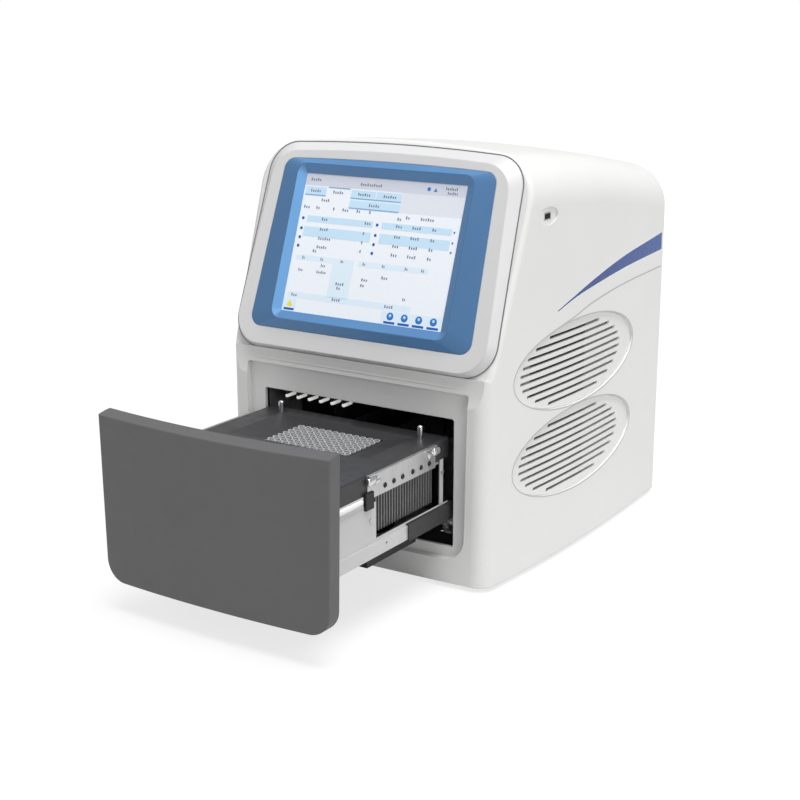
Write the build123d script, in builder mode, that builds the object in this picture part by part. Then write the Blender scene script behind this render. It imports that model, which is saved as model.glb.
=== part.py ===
"""Bench PCR machine with a motor-driven sample drawer and a tilted touch display.

The frame is in millimetres: X to the right, Y to the back, Z up. Pieces are drawn with
Y = 0 at the body's front, and saved with the origin on the table under the middle of the
machine with its drawer open, which is the rest position.
"""
from build123d import *

import os
from math import asin, atan2, cos, degrees, hypot, pi, radians, sin, sqrt, tan

os.makedirs("parts", exist_ok=True)

# General
WALL = 4.0  # moulded cover wall
SHEET = 1.5  # folded steel sheet
FIT = 0.3  # gap round a piece that drops into a seat
RUN = 0.05  # radial gap of a turning shaft
FLAT = 0.05  # how near to a plane an edge must lie to count as on it
SCREW_R = 1.6  # shank of the small screws

# Outer body
FOOT_H = 5.0
FOOT_R = 13.0
FOOT_X = 128.0
FOOT_FRONT_Y = 48.0
BOSS_X = 158.0
BOSS_FRONT_Y = 24.0
BOSS_R = 5.0
BOSS_H = 16.0
BODY_DEPTH = 431.0
HALF_FRONT = 168.0
HALF_BULGE = 181.0
HALF_REAR = 175.0
BULGE_SHARE = 0.515  # depth of the widest place, as a share of the body's depth
FRONT_BOW = 4.6
FRONT_CORNER_R = 20.0
REAR_CORNER_R = 14.0
ROOF_FRONT_H = 457.5  # above the cover's lower edge
ROOF_REAR_H = 413.0
ROOF_FRONT_Y = 91.0
ROOF_SAG = 6.3
CROWN_R = 1300.0
ROOF_EDGE_R = 50.0
SEAM_EDGE_R = 7.0  # the cover's rounded edge outside the display housing

# Tilted display
SCREEN_TILT = 20.0
SCREEN_Y = 16.3  # the visible screen's lower edge
SCREEN_H = 270.6
SCREEN_W = 208.0
SCREEN_L = 156.0
HOUSING_T = 10.0  # from the seam to the display housing's flat front
HOUSING_BELOW = 43.5  # housing edge below the visible screen
HOUSING_ABOVE = 41.0
HOUSING_HALF_TOP = 163.0
HOUSING_HALF_BOTTOM = 170.0
HOUSING_CORNER_R = 36.0
HOUSING_ARCH = 6.0
RIM_IN_TOP = 12.0  # how far the flat front lies inside the seam's outline
RIM_IN_SIDE = 6.5
RIM_IN_BOTTOM = 3.0
SEAM_LIP_T = 3.0
SEAM_LIP_W = 14.0
BEZEL_HALF_TOP = 136.0
BEZEL_HALF_BOTTOM = 143.5
BEZEL_BELOW = 20.5
BEZEL_ABOVE = 18.3
BEZEL_ARCH = 3.0
BEZEL_CORNER_R = 13.0
BEZEL_RISE = 5.0
BEZEL_LEDGE = 10.5  # from the screen's edge to the bezel's ridge
BEZEL_SEAT = 3.0
GLASS_T = 2.2
GLASS_LAP = 5.0
MODULE_T = 11.0
MODULE_LAP = 9.0
STANDOFF_H = 6.0
BOARD_T = 1.6
BOARD_HALF = 90.0
BOARD_L = 130.0
BOARD_LOW = 20.0  # above the screen's lower edge

# Drawer opening and the seat of its front panel
OPENING_HALF = 124.5
OPENING_BOTTOM_H = 38.0
OPENING_TOP_H = 180.3
RECESS_FLOOR_Y = 11.0
FASCIA_T = 4.0
PANEL_HALF_TOP = 142.6
PANEL_HALF_BOTTOM = 139.6
PANEL_BOTTOM_H = 28.3
PANEL_TOP_H = 207.7
PANEL_CORNER_R = 23.5
PANEL_TOP_R = 2.5
OPENING_R = 3.0
PANEL_T = 16.0
PANEL_BOW = 6.5
PANEL_SKIN = 3.0
PANEL_FALL = 3.5  # the panel's top slopes down to the front by this much
PANEL_GAP = 2.0
PANEL_EDGE_R = 1.5
NECK_DEPTH = 8.0
NECK_H = 44.0

# Side grilles
GRILLE_HALF_L = 140.0
GRILLE_HALF_H = 48.0
GRILLE_Y = 192.0
UPPER_GRILLE_H = 215.5
LOWER_GRILLE_H = 116.5
GRILLE_DEPTH = 2.6
GRILLE_T = 2.0
GRILLE_FLANGE = 4.0
SLOT_HALF_L = 116.0
SLOT_HALF_H = 41.0
SLOT_SHIFT = 9.0  # the slots sit this much towards the front
SLOT_PITCH = 8.2
SLOT_H = 3.4
USB_Y = 111.0
USB_H = 386.0
USB_W = 14.6
USB_T = 8.0
USB_DISH = 1.2
PORT_L = 14.0
USB_DISH_HALF_L = 20.0
USB_DISH_HALF_H = 9.5

# Drawer travel and carriage
TRAVEL = 232.0
CLOSED_GAP = 1.0
CARRIAGE_HALF = 117.0
CARRIAGE_FLOOR_H = 73.0
CARRIAGE_REAR = 234.0  # from the panel's back to the carriage's rear end
PLATE_TOP_H = 128.0
WINDOW_START = 97.0
WINDOW_END = 218.0
BRACKET_L = 126.0
BRACKET_H = 25.0
BRACKET_HOLE_R = 3.0
BRACKET_HOLE_PITCH = 16.0
TRAY_SIDE_H = 21.0
TRAY_WALL = 3.0
TRAY_RISE = 6.0  # tray top above the block's top
GUIDE_PIN_R = 3.2
GUIDE_PIN_H = 12.5
GUIDE_PIN_X = 91.5
GUIDE_PIN_IN = 15.0  # from the tray's rear edge
DISH_TOP_W = 176.0
DISH_TOP_L = 91.0
DISH_DEPTH = 6.5
BAND_END = -149.0
WINDOW_SILL = 16.0
POST_W = 6.0

# Thermal block
BLOCK_TOP_H = 154.0
BLOCK_CENTRE = 167.4  # behind the panel's back face
WELL_PITCH = 9.0
WELL_COLS = 12
WELL_ROWS = 8
WELL_R = 2.9
WELL_WALL = 0.9
WELL_DEPTH = 11.0
BLOCK_T = 14.0
COLLAR_H = 5.0
PELTIER_T = 3.6
SINK_BASE_T = 6.0
SINK_HALF = 108.0
SINK_L = 120.0
FIN_H = 40.0
FIN_T = 1.5
FIN_PITCH = 5.0
SINK_FAN_SIZE = 92.0
SINK_FAN_X = 50.0

# Telescopic slides
SLIDE_H = 15.4
SLIDE_L = 300.0
INNER_L = 300.0
INNER_START = 10.0
SLIDE_HOLE = 112.0  # from the panel's back to the fixing hole in the inner member
FRAME_FRONT = 20.0
FRAME_REAR = 400.0
MEMBER_H = 22.0
SLIDE_SHEET = 1.2
INNER_T = 2.4
OUTER_START = 45.0
SLIDE_BASE_H = 71.3

# Rack drive
MODULE = 1.5
PINION_TEETH = 16
PINION_Y = 40.0
RACK_X = 104.0
RACK_W = 7.0
TOOTH_SHARE = 0.40  # tooth width at the pitch line, as a share of the pitch
MOTOR_SIZE = 42.0
MOTOR_L = 33.0
MOTOR_SHAFT_R = 2.5
BAFFLE_X = -98.0
BAFFLE_PITCH = 13.0
BAFFLE_W = 4.0
BAFFLE_L = 23.0

# Heated lid and optics
LID_LIFT = 11.0
LID_L = 116.0
LID_W = 80.0
LID_T = 13.0
CARRIER_T = 5.0
POST_R = 4.0
POST_X = 102.0
POST_SPREAD = 70.0
BRIDGE_H = 210.0
BRIDGE_T = 4.0
LID_SCREW_R = 4.0
OPTICS_W = 150.0
OPTICS_L = 110.0
OPTICS_H = 86.0
WHEEL_R = 42.0
WHEEL_T = 4.0
FILTER_R = 8.0
FILTERS = 6
FILTER_MOTOR_R = 14.0
FILTER_MOTOR_H = 20.0
DETECTOR_LENS_R = 16.0
CARRIER_FRONT = 62.0
LIFT_SCREW_BEHIND = 80.0

# Rear and base
REAR_FAN_SIZE = 80.0
REAR_FAN_X = 62.0
REAR_FAN_H = 330.0
FAN_T = 25.0
FAN_HUB_R = 17.0
SPINDLE_R = 2.0
INLET_X = -0.6 * HALF_REAR
INLET_H = 60.0
INLET_W = 27.0
INLET_T = 20.0
INLET_L = 22.0
INLET_RIM = 2.0
SWITCH_UP = 26.0
SWITCH_W = 22.0
SWITCH_T = 13.0
PORTS_X = 0.4 * HALF_REAR
PORTS_H = 80.0
PORTS_W = 52.0
PORTS_T = 14.0
PSU_HALF = 82.0
PSU_Y = 328.0
PSU_L = 76.0
PSU_H = 48.0
REAR_LIP = 16.0

# Derived places
BASE_Z = FOOT_H
BULGE_Y = BULGE_SHARE * BODY_DEPTH
PANEL_BACK = RECESS_FLOOR_Y - CLOSED_GAP - TRAVEL
CARRIAGE_END = PANEL_BACK + CARRIAGE_REAR
BLOCK_Y = PANEL_BACK + BLOCK_CENTRE
CLOSED_BLOCK_Y = BLOCK_Y + TRAVEL
BLOCK_TOP = BASE_Z + BLOCK_TOP_H
TRAY_TOP = BLOCK_TOP + TRAY_RISE
TRAY_BOTTOM = TRAY_TOP - TRAY_SIDE_H
CARRIAGE_FLOOR = BASE_Z + CARRIAGE_FLOOR_H
BLOCK_BOTTOM = BLOCK_TOP - BLOCK_T
MIDDLE_Y = (PANEL_BACK - PANEL_T - PANEL_BOW + BODY_DEPTH + SCREW_R) / 2
SINK_TOP = BLOCK_BOTTOM - PELTIER_T
FIN_TOP = SINK_TOP - SINK_BASE_T
BRACKET_FRONT = PANEL_BACK + 80.0
FRAME_X = OPENING_HALF + FIT
PITCH = pi * MODULE
PINION_R = MODULE * PINION_TEETH / 2
RACK_LINE = CARRIAGE_FLOOR - 6.0
PINION_Z = RACK_LINE - PINION_R
LID_BOTTOM = BLOCK_TOP + 1.0 + LID_LIFT
CARRIER_BOTTOM = LID_BOTTOM + LID_T
BRIDGE_Z = BASE_Z + BRIDGE_H
SEAM_Z = BASE_Z + SCREEN_H - HOUSING_BELOW * cos(radians(SCREEN_TILT))
REAR_INSIDE = BODY_DEPTH - WALL
FASCIA_BACK = RECESS_FLOOR_Y + FASCIA_T
NECK_R = (NECK_H * NECK_H + NECK_DEPTH * NECK_DEPTH) / (2 * NECK_DEPTH)


def block(x0, x1, y0, y1, z0, z1, mode=Mode.ADD):
    """A box between two corners, added to the piece being built."""
    with Locations(((x0 + x1) / 2, (y0 + y1) / 2, (z0 + z1) / 2)):
        Box(abs(x1 - x0), abs(y1 - y0), abs(z1 - z0), mode=mode)


def rod(centre, radius, length, axis="Z", mode=Mode.ADD):
    """A cylinder centred on a point, along X, Y or Z."""
    turn = {"X": (0, 90, 0), "Y": (90, 0, 0), "Z": (0, 0, 0)}[axis]
    with Locations(centre):
        Cylinder(radius, length, rotation=turn, mode=mode)


def save(piece, name):
    """Label a finished piece and write its file."""
    placed = piece.part.moved(Location((0, -MIDDLE_Y, 0)))
    placed.label = name
    export_step(placed, f"parts/{name}.step")


# Outer form of the body

def arc_middle(start_half, bulge_half, bulge_y, start_y):
    """Middle point of the arc that leaves the widest place tangent to Y."""
    dx = bulge_half - start_half
    dy = bulge_y - start_y
    radius = (dx * dx + dy * dy) / (2 * dx)
    half_turn = asin(abs(dy) / radius) / 2
    side = 1 if dy > 0 else -1
    return (bulge_half - radius + radius * cos(half_turn), bulge_y - side * radius * sin(half_turn))


def roof_solid(inset):
    """The space under the roof: a crowned section turned about a far axis along X."""
    front_z = BASE_Z + ROOF_FRONT_H
    rear_z = BASE_Z + ROOF_REAR_H
    run = BODY_DEPTH - ROOF_FRONT_Y
    chord = hypot(run, front_z - rear_z)
    lean = atan2(front_z - rear_z, run)
    big_r = (chord * chord / 4 + ROOF_SAG * ROOF_SAG) / (2 * ROOF_SAG)
    centre_y = (ROOF_FRONT_Y + BODY_DEPTH) / 2 + (ROOF_SAG - big_r) * sin(lean)
    centre_z = (front_z + rear_z) / 2 + (ROOF_SAG - big_r) * cos(lean)
    half_turn = 3 * asin(BODY_DEPTH / 2 / big_r)
    start = lean + half_turn
    section = Plane(
        origin=(0, centre_y, centre_z),
        x_dir=(1, 0, 0),
        z_dir=(0, -cos(start), sin(start)),
    )
    half = 1.3 * HALF_BULGE
    crown = CROWN_R - inset
    top = big_r - inset
    drop = crown - sqrt(crown * crown - half * half)
    floor = top - 1.6 * (BASE_Z + ROOF_FRONT_H)
    with BuildPart() as roof:
        with BuildSketch(section):
            with BuildLine():
                ThreePointArc((-half, top - drop), (0, top), (half, top - drop))
                Polyline((half, top - drop), (half, floor), (-half, floor), (-half, top - drop))
            make_face()
        revolve(
            axis=Axis((0, centre_y, centre_z), (1, 0, 0)),
            revolution_arc=degrees(2 * half_turn),
        )
    return roof.part


def body_form(inset, floor=BASE_Z, front_round=0.0, rear_round=0.0):
    """The body's outer form, drawn in on every side by the inset."""
    front = (HALF_FRONT - inset, FRONT_BOW + inset)
    bulge = (HALF_BULGE - inset, BULGE_Y)
    rear = (HALF_REAR - inset, BODY_DEPTH - inset)
    front_mid = arc_middle(front[0], bulge[0], BULGE_Y, front[1])
    rear_mid = arc_middle(rear[0], bulge[0], BULGE_Y, rear[1])
    with BuildPart() as form:
        with BuildSketch(Plane.XY.offset(floor)):
            with BuildLine():
                ThreePointArc((-front[0], front[1]), (0, inset), front)
                ThreePointArc(front, front_mid, bulge)
                ThreePointArc(bulge, rear_mid, rear)
                Line(rear, (-rear[0], rear[1]))
                ThreePointArc((-rear[0], rear[1]), (-rear_mid[0], rear_mid[1]), (-bulge[0], bulge[1]))
                ThreePointArc((-bulge[0], bulge[1]), (-front_mid[0], front_mid[1]), (-front[0], front[1]))
            make_face()
        extrude(amount=1.3 * (BASE_Z + ROOF_FRONT_H) - floor)
        add(roof_solid(inset), mode=Mode.INTERSECT)
        upper = form.edges().filter_by(lambda e: e.center().Z > BASE_Z + 0.7 * ROOF_FRONT_H)
        outer = upper.filter_by(lambda e: abs(e.center().X) > 0.7 * HALF_FRONT)
        sides = outer.filter_by(lambda e: e.length > 0.2 * BODY_DEPTH)
        fillet(sides, radius=ROOF_EDGE_R - inset)
        if rear_round:
            back = form.faces().sort_by(Axis.Y)[-1]
            fillet(back.edges().filter_by(lambda e: e.center().Z > floor + 1), radius=rear_round)
        if front_round:
            uprights = form.edges().filter_by(Axis.Z).group_by(Axis.Y)[0]
            fillet(uprights, radius=front_round)
    return form.part


def display_plane(out=0.0):
    """The screen's plane, moved outwards. Its origin is the visible screen's lower edge."""
    tilt = radians(SCREEN_TILT)
    return Plane(
        origin=(0, SCREEN_Y - out * cos(tilt), BASE_Z + SCREEN_H + out * sin(tilt)),
        x_dir=(1, 0, 0),
        z_dir=(0, -cos(tilt), sin(tilt)),
    )


def arched_outline(plane, half_top, half_bottom, bottom, top, arch, corner):
    """A rounded trapezium with a slightly arched top edge."""
    with BuildSketch(plane) as outline:
        with BuildLine():
            Polyline(
                (-half_top, top - arch),
                (-half_bottom, bottom),
                (half_bottom, bottom),
                (half_top, top - arch),
            )
            ThreePointArc((half_top, top - arch), (0, top), (-half_top, top - arch))
        make_face()
        fillet(outline.vertices(), radius=corner)
    return outline.sketch


def housing_outline(out, grow):
    """The display housing's outline at the seam, grown on every side."""
    return arched_outline(
        display_plane(out),
        HOUSING_HALF_TOP + grow,
        HOUSING_HALF_BOTTOM + grow,
        -HOUSING_BELOW - grow,
        SCREEN_L + HOUSING_ABOVE + grow,
        HOUSING_ARCH,
        HOUSING_CORNER_R + grow,
    )


def rim_outline(out):
    """The edge of the display housing's flat front."""
    return arched_outline(
        display_plane(out),
        HOUSING_HALF_TOP - RIM_IN_TOP,
        HOUSING_HALF_BOTTOM - RIM_IN_SIDE,
        -HOUSING_BELOW + RIM_IN_BOTTOM,
        SCREEN_L + HOUSING_ABOVE - RIM_IN_TOP,
        HOUSING_ARCH,
        HOUSING_CORNER_R - RIM_IN_BOTTOM,
    )


def bezel_outline(out, grow):
    """The blue bezel's outer outline, grown on every side."""
    return arched_outline(
        display_plane(out),
        BEZEL_HALF_TOP + grow,
        BEZEL_HALF_BOTTOM + grow,
        -BEZEL_BELOW - grow,
        SCREEN_L + BEZEL_ABOVE + grow,
        BEZEL_ARCH,
        BEZEL_CORNER_R + grow,
    )


def screen_rectangle(out, grow, corner):
    """A rounded rectangle round the visible screen."""
    with BuildSketch(display_plane(out)) as outline:
        with Locations((0, SCREEN_L / 2)):
            RectangleRounded(SCREEN_W + 2 * grow, SCREEN_L + 2 * grow, corner)
    return outline.sketch


def panel_outline(y, grow):
    """The drawer panel's outline: a little narrower below, with round lower corners."""
    with BuildSketch(Plane.XZ.offset(-y)) as outline:
        with BuildLine():
            Polyline(
                (-PANEL_HALF_TOP - grow, BASE_Z + PANEL_TOP_H + grow),
                (-PANEL_HALF_BOTTOM - grow, BASE_Z + PANEL_BOTTOM_H - grow),
                (PANEL_HALF_BOTTOM + grow, BASE_Z + PANEL_BOTTOM_H - grow),
                (PANEL_HALF_TOP + grow, BASE_Z + PANEL_TOP_H + grow),
                close=True,
            )
        make_face()
        fillet(outline.vertices().group_by(Axis.Y)[0], radius=PANEL_CORNER_R + grow)
        fillet(outline.vertices().group_by(Axis.Y)[-1], radius=PANEL_TOP_R)
    return outline.sketch


def oval(side, height, half_l, half_h):
    """An oval prism through one side wall."""
    with BuildPart() as prism:
        with BuildSketch(Plane.YZ.offset(side * 0.6 * HALF_FRONT)):
            with Locations((GRILLE_Y, BASE_Z + height)):
                Ellipse(half_l, half_h)
        extrude(amount=side * 0.6 * HALF_FRONT)
    return prism.part


def side_x(y):
    """Half width of the body at this depth."""
    if y < BULGE_Y:
        share = (BULGE_Y - y) / (BULGE_Y - FRONT_BOW)
        return HALF_BULGE - (HALF_BULGE - HALF_FRONT) * share * share
    share = (y - BULGE_Y) / (BODY_DEPTH - BULGE_Y)
    return HALF_BULGE - (HALF_BULGE - HALF_REAR) * share * share


USB_X = side_x(USB_Y)
OUTER = body_form(0.0, front_round=FRONT_CORNER_R, rear_round=REAR_CORNER_R)
INNER = body_form(WALL, floor=-WALL, front_round=FRONT_CORNER_R - WALL)
LOOSE = body_form(WALL + FIT, floor=-WALL, front_round=FRONT_CORNER_R - WALL - FIT)
GRILLE_FACE = body_form(GRILLE_DEPTH, floor=-WALL)
GRILLE_BACK = body_form(WALL + GRILLE_T, floor=-WALL)

# Body cover: one moulding with the roof, the sides and the fascia

OUTWARD = display_plane().z_dir
FORWARD = Vector(0, -1, 0)


def plate(outline, amount, direction=OUTWARD):
    """A flat plate pulled from an outline along a direction."""
    with BuildPart() as solid:
        extrude(outline, amount=amount, dir=direction)
    return solid.part


def lofted(*outlines):
    """A ruled solid through outlines."""
    with BuildPart() as solid:
        for outline in outlines:
            add(outline)
        loft(ruled=True)
    return solid.part


with BuildPart() as display_space:
    with BuildSketch(display_plane(-HOUSING_T)):
        with Locations((0, 2 * SCREEN_L - HOUSING_BELOW)):
            Rectangle(3 * HALF_BULGE, 4 * SCREEN_L)
    extrude(amount=SCREEN_L)

with BuildPart() as cavity:
    add(INNER)
    block(-HALF_BULGE, HALF_BULGE, -WALL, FASCIA_BACK, -2 * WALL, SEAM_Z + WALL, mode=Mode.SUBTRACT)

with BuildPart() as seam_lip:
    add(plate(housing_outline(-HOUSING_T - SEAM_LIP_T, 3 * WALL), SEAM_LIP_T))
    add(INNER, mode=Mode.INTERSECT)
    lip_hole = housing_outline(-HOUSING_T - 2 * SEAM_LIP_T, -SEAM_LIP_W)
    add(plate(lip_hole, 4 * SEAM_LIP_T), mode=Mode.SUBTRACT)

BOSSES = [(x, y) for x in (-BOSS_X, BOSS_X) for y in (BOSS_FRONT_Y, BODY_DEPTH - BOSS_FRONT_Y)]
REAR_SCREW_X = HALF_REAR - REAR_LIP + 4.5
REAR_SCREWS = [(x, BASE_Z + h) for x in (-REAR_SCREW_X, REAR_SCREW_X) for h in (40, 170, 300)]

with BuildPart() as bosses:
    for x, y in BOSSES:
        block(x, x + (HALF_BULGE if x > 0 else -HALF_BULGE), y - 2, y + 2, BASE_Z + SHEET, BASE_Z + BOSS_H)
        rod((x, y, BASE_Z + (SHEET + BOSS_H) / 2), BOSS_R, BOSS_H - SHEET)
    add(INNER, mode=Mode.INTERSECT)

with BuildPart() as body_cover:
    add(OUTER)
    add(display_space.part, mode=Mode.SUBTRACT)
    cut = display_plane(-HOUSING_T)
    flat = body_cover.edges().filter_by(lambda e: abs(cut.to_local_coords(e.center()).Z) < FLAT)
    rim = flat.filter_by(lambda e: abs(cut.to_local_coords(e @ 0).Z) < FLAT)
    fillet(rim.filter_by(lambda e: e.center().Z > SEAM_Z + HOUSING_BELOW), radius=SEAM_EDGE_R)
    add(cavity.part, mode=Mode.SUBTRACT)
    rod((0, NECK_DEPTH - NECK_R, SEAM_Z), NECK_R, 3 * HALF_BULGE, "X", mode=Mode.SUBTRACT)
    add(seam_lip.part)
    recess = panel_outline(RECESS_FLOOR_Y, PANEL_GAP)
    add(plate(recess, PANEL_T + RECESS_FLOOR_Y, FORWARD), mode=Mode.SUBTRACT)
    with BuildSketch(Plane.XZ.offset(-RECESS_FLOOR_Y)):
        with Locations((0, BASE_Z + (OPENING_TOP_H + OPENING_BOTTOM_H) / 2)):
            RectangleRounded(2 * OPENING_HALF, OPENING_TOP_H - OPENING_BOTTOM_H, OPENING_R)
    extrude(amount=2 * FASCIA_T, both=True, mode=Mode.SUBTRACT)
    for side in (-1, 1):
        for height in (LOWER_GRILLE_H, UPPER_GRILLE_H):
            add(oval(side, height, GRILLE_HALF_L, GRILLE_HALF_H), mode=Mode.SUBTRACT)
    with BuildSketch(Plane.YZ.offset(USB_X - WALL)):
        with Locations((USB_Y, BASE_Z + USB_H)):
            Rectangle(USB_W + 2 * FIT, USB_T + 2 * FIT)
    extrude(amount=4 * WALL, both=True, mode=Mode.SUBTRACT)
    with BuildSketch(Plane.YZ.offset(USB_X - USB_DISH)):
        with Locations((USB_Y, BASE_Z + USB_H)):
            Ellipse(USB_DISH_HALF_L, USB_DISH_HALF_H)
    extrude(amount=4 * WALL, mode=Mode.SUBTRACT)
    with BuildSketch(Plane.XZ.offset(-BODY_DEPTH - WALL)):
        with Locations((0, (BASE_Z + ROOF_REAR_H) / 2 - REAR_LIP)):
            RectangleRounded(2 * (HALF_REAR - REAR_LIP), BASE_Z + ROOF_REAR_H, ROOF_EDGE_R - REAR_LIP)
    extrude(amount=4 * WALL, mode=Mode.SUBTRACT)
    add(bosses.part)
    with Locations(*[(x, y, BASE_Z) for x, y in BOSSES]):
        Cylinder(SCREW_R + RUN, 2 * BOSS_H - 6, mode=Mode.SUBTRACT)
    for x, z in REAR_SCREWS:
        rod((x, BODY_DEPTH, z), SCREW_R + RUN, 4 * WALL, "Y", mode=Mode.SUBTRACT)
save(body_cover, "body_cover")

# Display housing, bezel, glass and the boards behind


def screen_block(x0, x1, s0, s1, out0, out1):
    """A box in the screen's own directions: across, up the screen and outwards."""
    with BuildPart() as solid:
        with BuildSketch(display_plane(out0)):
            with Locations(((x0 + x1) / 2, (s0 + s1) / 2)):
                Rectangle(x1 - x0, s1 - s0)
        extrude(amount=out1 - out0)
    return solid.part


with BuildPart() as display_housing:
    add(lofted(housing_outline(-HOUSING_T, 0.0), rim_outline(0.0)))
    add(plate(bezel_outline(0.0, FIT), -BEZEL_SEAT), mode=Mode.SUBTRACT)
    add(plate(screen_rectangle(0.0, MODULE_LAP + FIT, 4.0), -2 * HOUSING_T), mode=Mode.SUBTRACT)
save(display_housing, "display_housing")

with BuildPart() as display_bezel:
    add(plate(bezel_outline(0.0, 0.0), -BEZEL_SEAT))
    add(lofted(bezel_outline(0.0, 0.0), screen_rectangle(BEZEL_RISE, BEZEL_LEDGE, BEZEL_CORNER_R)))
    ridge = screen_rectangle(BEZEL_RISE, BEZEL_LEDGE - 1.0, BEZEL_CORNER_R - 1.0)
    add(lofted(ridge, screen_rectangle(0.0, 0.0, 1.0)), mode=Mode.SUBTRACT)
    add(plate(screen_rectangle(0.0, 0.0, 1.0), -2 * BEZEL_SEAT), mode=Mode.SUBTRACT)
    glass_seat = screen_rectangle(GLASS_T - BEZEL_SEAT, GLASS_LAP + FIT, 2.0)
    add(plate(glass_seat, -BEZEL_SEAT), mode=Mode.SUBTRACT)
save(display_bezel, "display_bezel")

with BuildPart() as touch_glass:
    add(plate(screen_rectangle(-BEZEL_SEAT, GLASS_LAP, 1.8), GLASS_T))
save(touch_glass, "touch_glass")

MODULE_BACK = -BEZEL_SEAT - MODULE_T
with BuildPart() as display_module:
    add(plate(screen_rectangle(-BEZEL_SEAT, MODULE_LAP, 3.0), -MODULE_T))
save(display_module, "display_module")

BOARD_OUT = MODULE_BACK - STANDOFF_H
BOARD_BACK = BOARD_OUT - BOARD_T
CHIPS = [(-30, 70, 34, 34), (30, 60, 18, 24), (-70, 40, 14, 50), (60, 100, 26, 12), (0, 115, 60, 8)]
with BuildPart() as control_board:
    add(screen_block(-BOARD_HALF, BOARD_HALF, BOARD_LOW, BOARD_LOW + BOARD_L, BOARD_BACK, BOARD_OUT))
    for x in (-BOARD_HALF + 6, BOARD_HALF - 6):
        for s in (BOARD_LOW + 6, BOARD_LOW + BOARD_L - 6):
            add(screen_block(x - 3, x + 3, s - 3, s + 3, BOARD_OUT, MODULE_BACK))
    for x, s, w, h in CHIPS:
        add(screen_block(x - w / 2, x + w / 2, s - h / 2, s + h / 2, BOARD_BACK - 3, BOARD_BACK))
save(control_board, "control_board")

# Side grilles and the port in the right side


def common(first, second):
    """What two solids share."""
    with BuildPart() as shared:
        add(first)
        add(second, mode=Mode.INTERSECT)
    return shared.part


def grille(side, height):
    """One louvred oval, sunk into the cover's side and held by a flange behind the wall."""
    slots = round(2 * SLOT_HALF_H / SLOT_PITCH)
    rows = [(row + 0.5 - slots / 2) * SLOT_PITCH for row in range(slots)]
    dish = oval(side, height, GRILLE_HALF_L - FIT, GRILLE_HALF_H - FIT)
    behind = oval(side, height, GRILLE_HALF_L + GRILLE_FLANGE, GRILLE_HALF_H + GRILLE_FLANGE)
    with BuildPart() as louvre:
        add(common(dish, GRILLE_FACE))
        add(common(behind, INNER))
        add(GRILLE_BACK, mode=Mode.SUBTRACT)
        with BuildSketch(Plane.YZ.offset(side * HALF_FRONT / 2)):
            for row in rows:
                half = SLOT_HALF_L * sqrt(1 - (row / (SLOT_HALF_H + SLOT_H / 2)) ** 2)
                with Locations((GRILLE_Y - SLOT_SHIFT, BASE_Z + height + row)):
                    SlotOverall(2 * half, SLOT_H)
        extrude(amount=side * HALF_FRONT, mode=Mode.SUBTRACT)
    return louvre.part


for side, name in ((-1, "left_grilles"), (1, "right_grilles")):
    with BuildPart() as grilles:
        for height in (LOWER_GRILLE_H, UPPER_GRILLE_H):
            add(grille(side, height))
    save(grilles, name)

with BuildPart() as usb_port:
    mouth = USB_X - USB_DISH
    port_z = BASE_Z + USB_H
    y0, y1 = USB_Y - USB_W / 2, USB_Y + USB_W / 2
    z0, z1 = port_z - USB_T / 2, port_z + USB_T / 2
    block(USB_X - 3 * WALL, USB_X, y0 - 4, y1 + 4, z0 - 4, z1 + 4)
    add(INNER, mode=Mode.INTERSECT)
    block(mouth - PORT_L, mouth, y0, y1, z0, z1)
    block(mouth - PORT_L + 1, mouth + 1, y0 + 1, y1 - 1, z0 + 1, z1 - 1, mode=Mode.SUBTRACT)
    block(mouth - PORT_L, mouth - PORT_L / 2, USB_Y - 5, USB_Y + 5, port_z + 0.4, port_z + 1.8)
save(usb_port, "usb_port")

# Base, feet, rear panel and what is fixed to them

with BuildPart() as base_plate:
    rear = REAR_INSIDE - SHEET - 2 * FIT
    block(-HALF_BULGE, HALF_BULGE, FASCIA_BACK + FIT, rear, BASE_Z, BASE_Z + SHEET)
    add(LOOSE, mode=Mode.INTERSECT)
    with Locations((0, CLOSED_BLOCK_Y, BASE_Z)):
        with GridLocations(24, 12, 8, 8):
            Cylinder(3.0, 4 * SHEET, mode=Mode.SUBTRACT)
    with Locations(*[(x, y, BASE_Z) for x, y in BOSSES]):
        Cylinder(SCREW_R + RUN, 4 * SHEET, mode=Mode.SUBTRACT)
save(base_plate, "base_plate")

FOOT_Y = (FOOT_FRONT_Y, BODY_DEPTH - FOOT_FRONT_Y)
with BuildPart() as feet:
    with BuildSketch(Plane.XY):
        with Locations(*[(x, y) for x in (-FOOT_X, FOOT_X) for y in FOOT_Y]):
            Circle(FOOT_R)
    extrude(amount=FOOT_H)
    fillet(feet.edges().group_by(Axis.Z)[0], radius=1.2)
save(feet, "feet")

PANEL_FACE = REAR_INSIDE
INLET_Z = BASE_Z + INLET_H
SWITCH_Z = INLET_Z + SWITCH_UP
PORTS_Z = BASE_Z + PORTS_H
FAN_Z = BASE_Z + REAR_FAN_H
with BuildPart() as rear_blank:
    face = PANEL_FACE - FIT
    low = BASE_Z + SHEET + FIT
    half = HALF_BULGE + HALF_REAR
    block(-half, half, face - SHEET, face, low, BASE_Z + ROOF_FRONT_H)
    add(LOOSE, mode=Mode.INTERSECT)

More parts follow.
